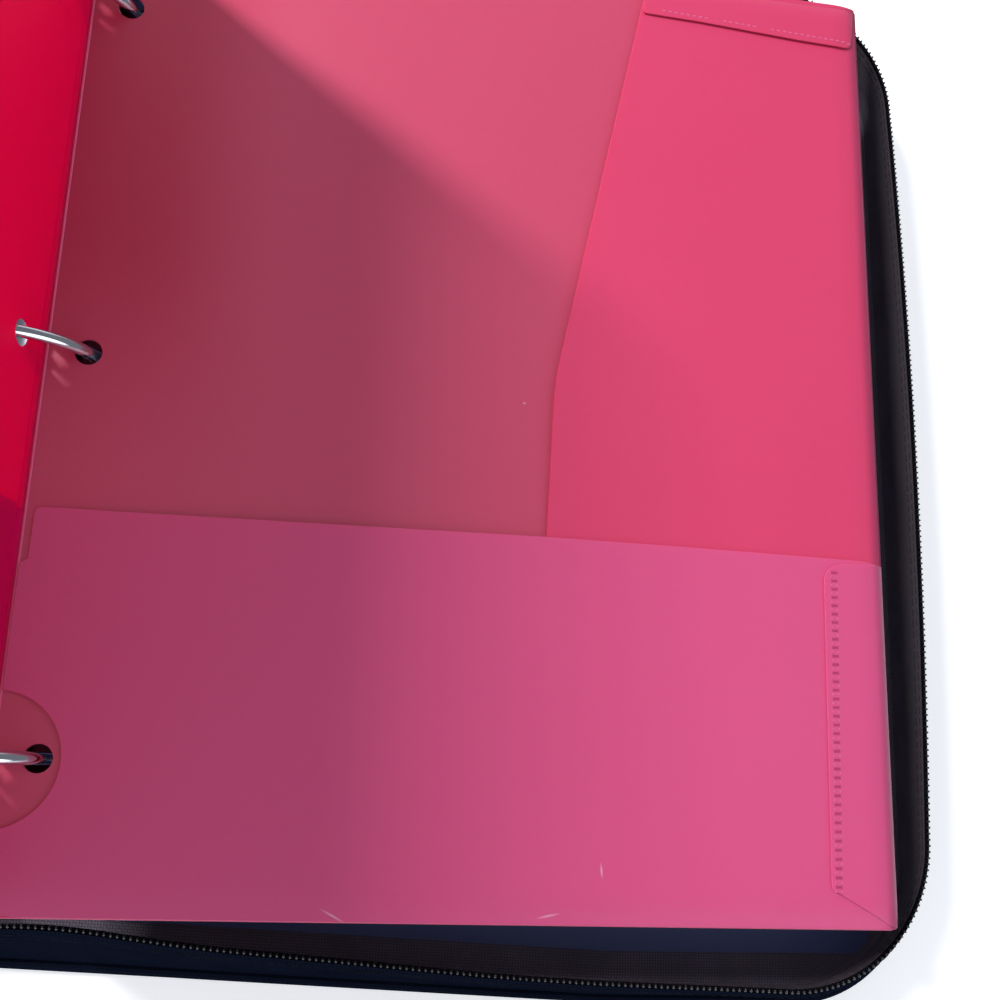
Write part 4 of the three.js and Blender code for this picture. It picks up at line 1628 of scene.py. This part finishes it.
@dataclass
class Film:
    """One panel of the plastic folder with the flaps that are folded onto it."""

    label: str
    body: str
    mirrored: bool
    hole_edge: float
    back: Finish
    front: Finish
    pocket: Finish
    # rim: finish of the fore edge's fold, painted dark as shade on the main panel
    rim: Finish
    fold: Vector = vector(77.0, 3.7, 49.2)
    lean: float = 0.0
    sheet: float = 0.5
    gap: float = 0.25
    drop: float = 1.9
    width: float = 238.0
    foot: float = -145.5
    head: float = 140.6
    edge: float = 0.4
    pitch: float = 107.95
    hole: float = 3.6
    wave: float = 0.12
    puff: float = 1.5
    puff_slope: float = 0.0092
    roll: float = 8.0
    bend: float = 3.8
    rim_ease: float = 0.16
    near: float = 0.4

    @property
    def place(self) -> Matrix:
        """Move from the panel's own frame, about its fold, to the binder."""
        mirror = Matrix.Scale(-1.0 if self.mirrored else 1.0, 4, (1.0, 0.0, 0.0))
        turn = Matrix.Rotation(math.radians(self.lean), 4, "Y")
        return Matrix.Translation(self.fold) @ turn @ mirror

    def level(self, layer: int) -> float:
        """Height of a layer's underside above the fold's axis."""
        return -self.drop - self.sheet / 2 + layer * (self.sheet + self.gap)

    def relief(self, layer: int, x: float, y: float) -> float:
        """Lift of a layer: flaps puff up, and close down to their own folded edges.

        Args:
            layer: Layer number, from 0 for the backing sheet.
            x: Distance from the fold.
            y: Distance from the middle ring.

        Returns:
            Lift above the layer's flat height.
        """
        wave = self.wave * math.sin(x / 31.0) * math.sin(y / 47.0 + 0.6)
        if layer == 0:
            return wave
        far = self.width - self.edge - x
        side, low, high = (
            1 - max(0.0, 1 - max(0.0, reach) / self.roll) ** 2
            for reach in (far, y - self.foot - self.edge, self.head - y)
        )
        puff = min(self.puff, self.puff_slope * max(0.0, x)) * side
        turn = max(0.0, 1 - max(0.0, far) / self.bend)
        rolled = (0.1 + 0.3 * layer) * (1 - math.sqrt(1 - turn**2))
        if layer == 1:
            free = math.exp(-max(0.0, x - 138.0) / 18.0)
            free *= min(1.0, max(0.0, (y + 46.0) / 40.0))
            return wave + 0.75 * puff + 0.9 * free - 0.2 * (1 - side) - rolled
        press = 0.25 * layer * (1 - side) + 0.5 * (1 - low) + 0.5 * (1 - high)
        settle = 0.85 * math.exp(-max(0.0, x) / 14.0) if layer == 2 else 0.0
        return wave + puff * low * high - press - rolled - settle

    def cut(
        self, outline: Sequence[Point], layer: int, holes: Sequence[Sequence[Point]] = ()
    ) -> Mesh:
        """Cuts a sheet to an outline and gives it its lift and thickness.

        Args:
            outline: Outline's points.
            layer: Layer on which the sheet lies.
            holes: Outlines of the holes.

        Returns:
            The sheet.
        """
        bm = bmesh.new()
        rims = []
        for loop in (outline, *holes):
            verts = [bm.verts.new((x, y, 0.0)) for x, y in loop]
            rims += [bm.edges.new(pair) for pair in zip(verts, verts[1:] + verts[:1])]
        bmesh.ops.triangle_fill(bm, use_beauty=True, use_dissolve=False, edges=rims)
        xs, ys = [p[0] for p in outline], [p[1] for p in outline]
        # The cuts lie closer together where a sheet rolls down to its edges
        far, close = self.width - self.edge, (1.0, 2.2, 3.8, 6.0, 9.0)
        near_edge = [far - d for d in (0.25, 0.6, 1.1, 1.7, 2.4, 3.2, 5.0, 8.0)]
        near_foot = [self.foot + self.edge + d for d in (*close, 13.0)]
        near_head = [self.head - d for d in close]
        columns = [*range(12, int(max(xs)), 12), *near_edge]
        rows = [*range(int(min(ys)) + 6, int(max(ys)), 12), *near_foot, *near_head]
        for axis, marks in ((Vector((1, 0, 0)), columns), (Vector((0, 1, 0)), rows)):
            for mark in marks:
                bmesh.ops.bisect_plane(
                    bm,
                    geom=bm.verts[:] + bm.edges[:] + bm.faces[:],
                    dist=0.0005,
                    plane_co=axis * mark,
                    plane_no=axis,
                )
        bmesh.ops.remove_doubles(bm, verts=bm.verts, dist=0.002)
        flat_uv(bm)
        for vert in bm.verts:
            vert.co.z = self.level(layer) + self.relief(layer, vert.co.x, vert.co.y)
        lifted = bmesh.ops.extrude_face_region(bm, geom=bm.faces[:], use_keep_orig=True)
        moved = [v for v in lifted["geom"] if isinstance(v, bmesh.types.BMVert)]
        bmesh.ops.translate(bm, vec=(0.0, 0.0, self.sheet), verts=moved)
        bmesh.ops.recalc_face_normals(bm, faces=bm.faces)
        upper = set(moved)
        rim = [
            e
            for e in bm.edges
            if e.verts[0] in upper
            and e.verts[1] in upper
            and e.calc_face_angle(0.0) > math.radians(60)
        ]
        bevelled(bm, rim, self.rim_ease, segments=1)
        return bm

    def laid(
        self, name: str, bm: Mesh, finish: Finish, nodes: Sequence[str] = ()
    ) -> bpy.types.Object:
        """Lays a sheet of this panel in its place.

        Args:
            name: Piece's name without the panel's.
            bm: The sheet in the panel's own frame.
            finish: Its finish.
            nodes: CAD nodes that it stands for, without the panel's name.

        Returns:
            The piece's object.
        """
        bmesh.ops.transform(bm, matrix=self.place, verts=bm.verts)
        bmesh.ops.recalc_face_normals(bm, faces=bm.faces)
        nodes = [f"{self.label}_{node}" for node in nodes]
        return finished(f"{self.label}_{name}", bm, finish, self.body, nodes)

    def build(self) -> None:
        """Cuts and lays every sheet of the panel."""
        rings = [(self.hole_edge, step * self.pitch) for step in (-1, 0, 1)]
        holes = [arc_points(ring, self.hole, 0.0, 2 * math.pi, 32)[:-1] for ring in rings]
        for name, outline, layer, finish, node in (
            ("back_sheet", self.backing(), 0, self.back, "panel"),
            ("side_flap", self.side_pocket(), 1, self.front, "side_pocket"),
            ("foot_flap", self.foot_pocket(), 2, self.pocket, "bottom_pocket"),
            ("head_flap", self.head_tab(), 2, self.front, "top_tab"),
            ("corner_flap", self.corner_tab(), 3, self.pocket, "weld_tab"),
        ):
            sheet = self.cut(outline, layer, holes if layer == 0 else ())
            self.laid(name, sheet, finish, [node])
        self.folds()
        self.welds()

    def backing(self) -> list[Point]:
        """Outline of the backing sheet."""
        near, far, foot, head, cut = self.near, self.width, self.foot, self.head, 2.0
        return [
            (near, foot),
            *curve_points((far - cut, foot), (far, foot), (far, foot + cut)),
            *curve_points((far, head - cut), (far, head), (far - cut, head)),
            (near, head),
        ]

    def foot_pocket(self) -> list[Point]:
        """Outline of the foot pocket, cut out round the ring and at the fold."""
        near, far, radius, shift = 0.1, self.width - self.edge, 17.0, -0.6
        start = math.acos((near - shift) / radius)
        return [
            (near, self.foot),
            *arc_points((shift, -self.pitch - 0.5), radius, -start, start, 32),
            (near, -59.0),
            (2.1, -57.6),
            *curve_points((2.2, -45.8), (2.2, -43.8), (4.6, -43.8), 4),
            (24.0, -44.0),
            (140.0, -43.8),
            (183.0, -44.3),
            (213.0, -44.8),
            (far - 6.0, -45.2),
            (far, -46.2),
            (far, self.foot),
        ]

    def side_pocket(self) -> list[Point]:
        """Outline of the side pocket with its bent free edge."""
        far, head = self.width - self.edge, self.head - self.edge
        slope = (167.2 - 139.3) / (head - 0.5)
        return [
            (far, -90.0),
            (far, head),
            (167.2, head),
            *curve_points((139.3 + slope * 9.0, 9.5), (139.3, 0.5), (139.3, -8.5)),
            (137.0, -90.0),
        ]

    def head_tab(self) -> list[Point]:
        """Outline of the tab folded down from the head."""
        far, near = self.width - 2 * self.edge, 165.2
        return [
            (near + 1.8, self.head),
            (far, self.head),
            *curve_points((235.4, 127.0), (234.9, 123.9), (232.0, 123.9), 5),
            (217.0, 124.4),
            (184.0, 126.4),
            *curve_points((near + 1.4, 126.9), (near, 126.9), (near + 0.1, 128.3), 3),
        ]

    def corner_tab(self) -> list[Point]:
        """Outline of the tab folded over the foot pocket and welded to it."""
        far, near = self.width - self.edge / 2, self.width - 19.4
        foot, low, turn = self.foot + self.edge, -134.0, near - 0.8
        return [
            (far, -46.0),
            *curve_points((near + 5.5, -46.5), (near, -47.2), (near, -52.4), 6),
            *curve_points((turn, low), (turn, low - 1.6), (near + 1.2, low - 2.2), 5),
            (far - 3.2, foot + 1.0),
            (far, foot),
        ]

    def folds(self) -> None:
        """Builds the rounded folds along the fore edge and the foot."""
        middle = self.level(0) + self.sheet
        shares = [k / 60 for k in range(61)]
        far, begin, length = self.width - 0.42, self.foot + 1.5, 283.0
        fore = [Vector((far, begin + length * t, middle - 0.1)) for t in shares]
        length = self.width - 3.0
        foot = [Vector((1.0 + length * t, self.foot + 0.25, middle)) for t in shares]
        self.laid("foot_edge_fold", tube(foot, radius=0.52), self.front)
        # The fore edge's fold takes the rim finish, painted dark pink as shade
        self.laid("fore_edge_fold", tube(fore, radius=0.42), self.rim)

    def on_top(self, layer: int, x: float, y: float) -> Matrix:
        """Move to a point on top of a layer."""
        z = self.level(layer) + self.sheet + self.relief(layer, x, y)
        return Matrix.Translation((x, y, z))

    def welds(self) -> None:
        """Presses the weld marks into the head tab and the corner tab."""
        bars = []
        for low, high in ((172.0, 187.0), (192.0, 202.0), (208.0, 234.5)):
            for k in range(int((high - low) / 2.0) + 1):
                x = low + 2.0 * k
                bars.append(self.on_top(2, x, 128.5 - (x - 172.0) * 0.046))
        # The head tab's weld dashes are pale as painted highlights
        marks = repeated(lozenge(1.1, 0.55, 0.24, 0.1), bars)
        spots = [(221.7 - 1.9 * k / 36, -49.2 - 2.37 * k) for k in range(37)]
        rungs = [self.on_top(3, x, y) for x, y in spots]
        ridges = [
            rung @ Matrix.Translation((side, -1.18, 0.0))
            for rung in rungs
            for side in (-0.9, 0.9)
        ]
        # The ridges beside each rung are pale as painted highlights on the recess rims
        marks = added(marks, repeated(lozenge(0.55, 0.5, 0.3, 0.14), ridges))
        self.laid("weld_ridges", marks, WELD_HIGHLIGHT)
        # The rungs are dark pink as painted shade of pressed-in recesses
        self.laid("weld_rungs", repeated(lozenge(1.9, 0.78, 0.12, 0.05), rungs), WELD_RECESS_SHADE)


def folder_fold(film: Film, leaf: Film) -> None:
    """Builds the creased fold between the folder's panel and its leaf.

    Args:
        film: The panel that lies in the case.
        leaf: The panel that stands up.
    """
    tilt = Matrix.Rotation(math.radians(leaf.lean), 2)
    rise = Vector((-math.cos(math.radians(leaf.lean)), math.sin(math.radians(leaf.lean))))
    near = tilt.inverted() @ Vector((-film.edge, -film.drop))
    corner = near - rise * ((near.y + film.drop) / rise.y)
    path = [Vector((film.near + 0.1, -film.drop))]
    bend = curve_points(corner + Vector((0.6, 0.0)), corner, corner + rise * 0.6, 6)
    path += [Vector(p) for p in bend]
    path.append(near + rise * 0.1)
    sides: tuple[list[Vector], list[Vector]] = ([], [])
    for i, point in enumerate(path):
        ahead = (path[min(i + 1, len(path) - 1)] - path[max(i - 1, 0)]).normalized()
        for line, way in zip(sides, (1, -1)):
            line.append(point + Vector((ahead.y, -ahead.x)) * way * film.sheet / 2)
    ring = [*sides[0], *reversed(sides[1])]
    lengths = run_lengths([*ring, ring[0]])
    count = len(ring)
    # Below the bottom pocket's top edge the fold gets painted shade, a deeper red with
    # less light soaking through, for the flaps' film that lies behind it and dims it
    dimmed = -44.6
    for part, low, high, finish, columns in (
        ("foot", film.foot, dimmed, SHADED_RED, 16),
        ("head", dimmed, film.head, RED, 32),
    ):

        def place(column: int, row: int) -> Vector:
            """Point of the fold at a station and a point of its section."""
            x, z = ring[row % count]
            return film.fold + Vector((x, low + (high - low) * column / columns, z))

        span = high - low
        bm = gridded(columns, count, place, lambda c, r: (span * c / columns, lengths[r]))
        piece = finished(f"folder_{part}_fold", closed_up(bm), finish, None)
        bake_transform(piece)
    length = film.head - film.foot
    # A bright pink bead along the fold: crease whitening and a painted highlight
    bead = [Vector((-0.15, film.foot + length * k / 60, -film.drop)) for k in range(61)]
    film.laid("fold_bead", tube(bead, radius=0.45), CREASE_HIGHLIGHT)


# The studio


@dataclass
class Studio:
    """Pale floor, soft lights and the camera at the photograph's viewpoint."""

    eye: Vector = vector(0.15807, -0.10306, 0.34922)
    right: Vector = vector(0.9878, 0.0325, 0.1523)
    up: Vector = vector(-0.0668, 0.9718, 0.226)
    lens: float = 40.34
    target: Vector = vector(0.2, 0.0, 0.045)
    key_from: Vector = vector(-0.5857, 0.3318, 0.7396)
    key_along: Vector = vector(-0.225, 0.0, 0.974)
    window_from: Vector = vector(0.49, -0.75, 0.45)
    key_distance: float = 1.6
    key_watts: float = 22.3
    key_length: float = 0.42
    key_width: float = 0.07
    key_tint: tuple[float, float, float] = (1.0, 0.98, 0.96)
    room_level: float = 0.6
    room_tint: tuple[float, float, float, float] = (0.9, 0.95, 1.06, 1.0)
    floor_tint: str = "#f4f4f4"
    floor_glow: float = 0.45

    def build(self) -> None:
        """Sets up the camera, the lights and the floor."""
        scene = bpy.context.scene
        scene.view_settings.view_transform = "Standard"
        self.camera(scene)
        self.key(scene)
        self.room(scene)
        self.floor(scene)

    def camera(self, scene: bpy.types.Scene) -> None:
        """Places the camera.

        Args:
            scene: The scene.
        """
        data = bpy.data.cameras.new("camera")
        data.lens = self.lens
        data.sensor_width = 36.0
        data.clip_start = 0.01
        camera = bpy.data.objects.new("camera", data)
        back = self.right.cross(self.up).normalized()
        axes = Matrix((self.right, self.up, back)).transposed().to_4x4()
        camera.matrix_world = Matrix.Translation(self.eye) @ axes
        scene.collection.objects.link(camera)
        scene.camera = camera

    def key(self, scene: bpy.types.Scene) -> None:
        """Places the soft key light that casts the leaf's shadow on the panel.

        Args:
            scene: The scene.
        """
        data = bpy.data.lights.new("key", "AREA")
        data.shape = "RECTANGLE"
        data.size, data.size_y = self.key_length, self.key_width
        data.energy = self.key_watts
        data.color = self.key_tint
        lamp = bpy.data.objects.new("key", data)
        back = self.key_from.normalized()
        lamp.location = self.target + back * self.key_distance
        along = (self.key_along - back * self.key_along.dot(back)).normalized()
        axes = Matrix((along, back.cross(along), back)).transposed()
        lamp.rotation_mode = "QUATERNION"
        lamp.rotation_quaternion = axes.to_quaternion()
        scene.collection.objects.link(lamp)

    def room(self, scene: bpy.types.Scene) -> None:
        """Fills the room with even light, and shows white where nothing stands.

        Args:
            scene: The scene.
        """
        world = bpy.data.worlds.new("studio_room")
        scene.world = world
        world.use_nodes = True
        tree = world.node_tree
        tree.nodes.clear()
        path = add_node(tree, "LightPath")
        way = add_node(tree, "TexCoord")["Generated"]
        parts = add_node(tree, "SeparateXYZ", {0: way})
        window = {0: way, 1: self.window_from.normalized()}
        facing = add_node(tree, "VectorMath", window, operation="DOT_PRODUCT")["Value"]
        # Shiny pieces mirror a bright window side, pale surroundings and a dim ceiling
        mirrored: object = 1.0
        for operation, value, span, levels in (
            ("MINIMUM", parts["Z"], (0.15, 0.5), (1.0, 0.2)),
            ("MINIMUM", parts["X"], (0.3, 0.7), (1.0, 0.22)),
            ("MINIMUM", parts["Y"], (-0.35, -0.7), (1.0, 0.12)),
            ("MAXIMUM", parts["X"], (0.1, -0.4), (0.0, 1.5)),
            ("MAXIMUM", facing, (0.88, 0.93), (0.0, 2.6)),
        ):
            ramp = {"Value": value, 1: span[0], 2: span[1], 3: levels[0], 4: levels[1]}
            pane = add_node(tree, "MapRange", ramp, interpolation_type="SMOOTHSTEP")[0]
            panes = {0: mirrored, 1: pane}
            mirrored = add_node(tree, "Math", panes, operation=operation)[0]
        levels = {"Factor": path["Is Glossy Ray"], 2: self.room_level, 3: mirrored}
        level = add_node(tree, "Mix", levels, data_type="FLOAT")[0]
        rays = {0: path["Is Camera Ray"], 1: path["Is Transmission Ray"]}
        seen = add_node(tree, "Math", rays, operation="MAXIMUM")[0]
        levels = {"Factor": seen, 2: level, 3: 1.0}
        level = add_node(tree, "Mix", levels, data_type="FLOAT")[0]
        tints = {"Factor": seen, 6: self.room_tint, 7: WHITE}
        tint = add_node(tree, "Mix", tints, data_type="RGBA")[2]
        shade = add_node(tree, "Background", {"Color": tint, "Strength": level})[0]
        add_node(tree, "OutputWorld", {"Surface": shade})

    def floor(self, scene: bpy.types.Scene) -> None:
        """Lays the pale floor just under the binder.

        Args:
            scene: The scene.
        """
        bm = bmesh.new()
        bmesh.ops.create_circle(bm, cap_ends=True, segments=64, radius=3.0)
        bmesh.ops.translate(bm, vec=(0.0, 0.0, -0.0005), verts=bm.verts)
        mesh = bpy.data.meshes.new("studio_floor")
        bm.to_mesh(mesh)
        bm.free()
        paint = bpy.data.materials.new("matt_white_floor")
        paint.use_nodes = True
        tree = paint.node_tree
        shader = tree.nodes["Principled BSDF"]
        path = add_node(tree, "LightPath")
        rays = {0: path["Is Camera Ray"], 1: path["Is Glossy Ray"]}
        seen = add_node(tree, "Math", rays, operation="MAXIMUM")[0]
        product = {0: seen, 1: self.floor_glow}
        glow = add_node(tree, "Math", product, operation="MULTIPLY")[0]
        wire(shader, {"Base Color": self.floor_tint, "Roughness": 0.9})
        wire(shader, {"Emission Color": WHITE, "Emission Strength": glow})
        mesh.materials.append(paint)
        floor = bpy.data.objects.new("studio_floor", mesh)
        scene.collection.objects.link(floor)


def main() -> None:
    """Builds the binder and its studio, in order."""
    logging.basicConfig(level=logging.INFO, format="%(name)s: %(message)s")
    Studio().build()
    Cover(CoverSide.BACK, zip_start=36.0).build()
    Cover(CoverSide.FRONT, zip_start=54.0).build()
    Spine().build()
    RingMechanism().build()
    ZipSliders().build()
    film = Film("folder", "folder", False, 10.6, DULL, PINK, ROSE, SHADED_FOLD_FILM, near=-0.7)
    leaf = Film("leaf", "folder_leaf", True, 10.0, RED, RED, RED, RED, lean=77.0)
    film.build()
    leaf.build()
    folder_fold(film, leaf)


if __name__ == "__main__":
    main()
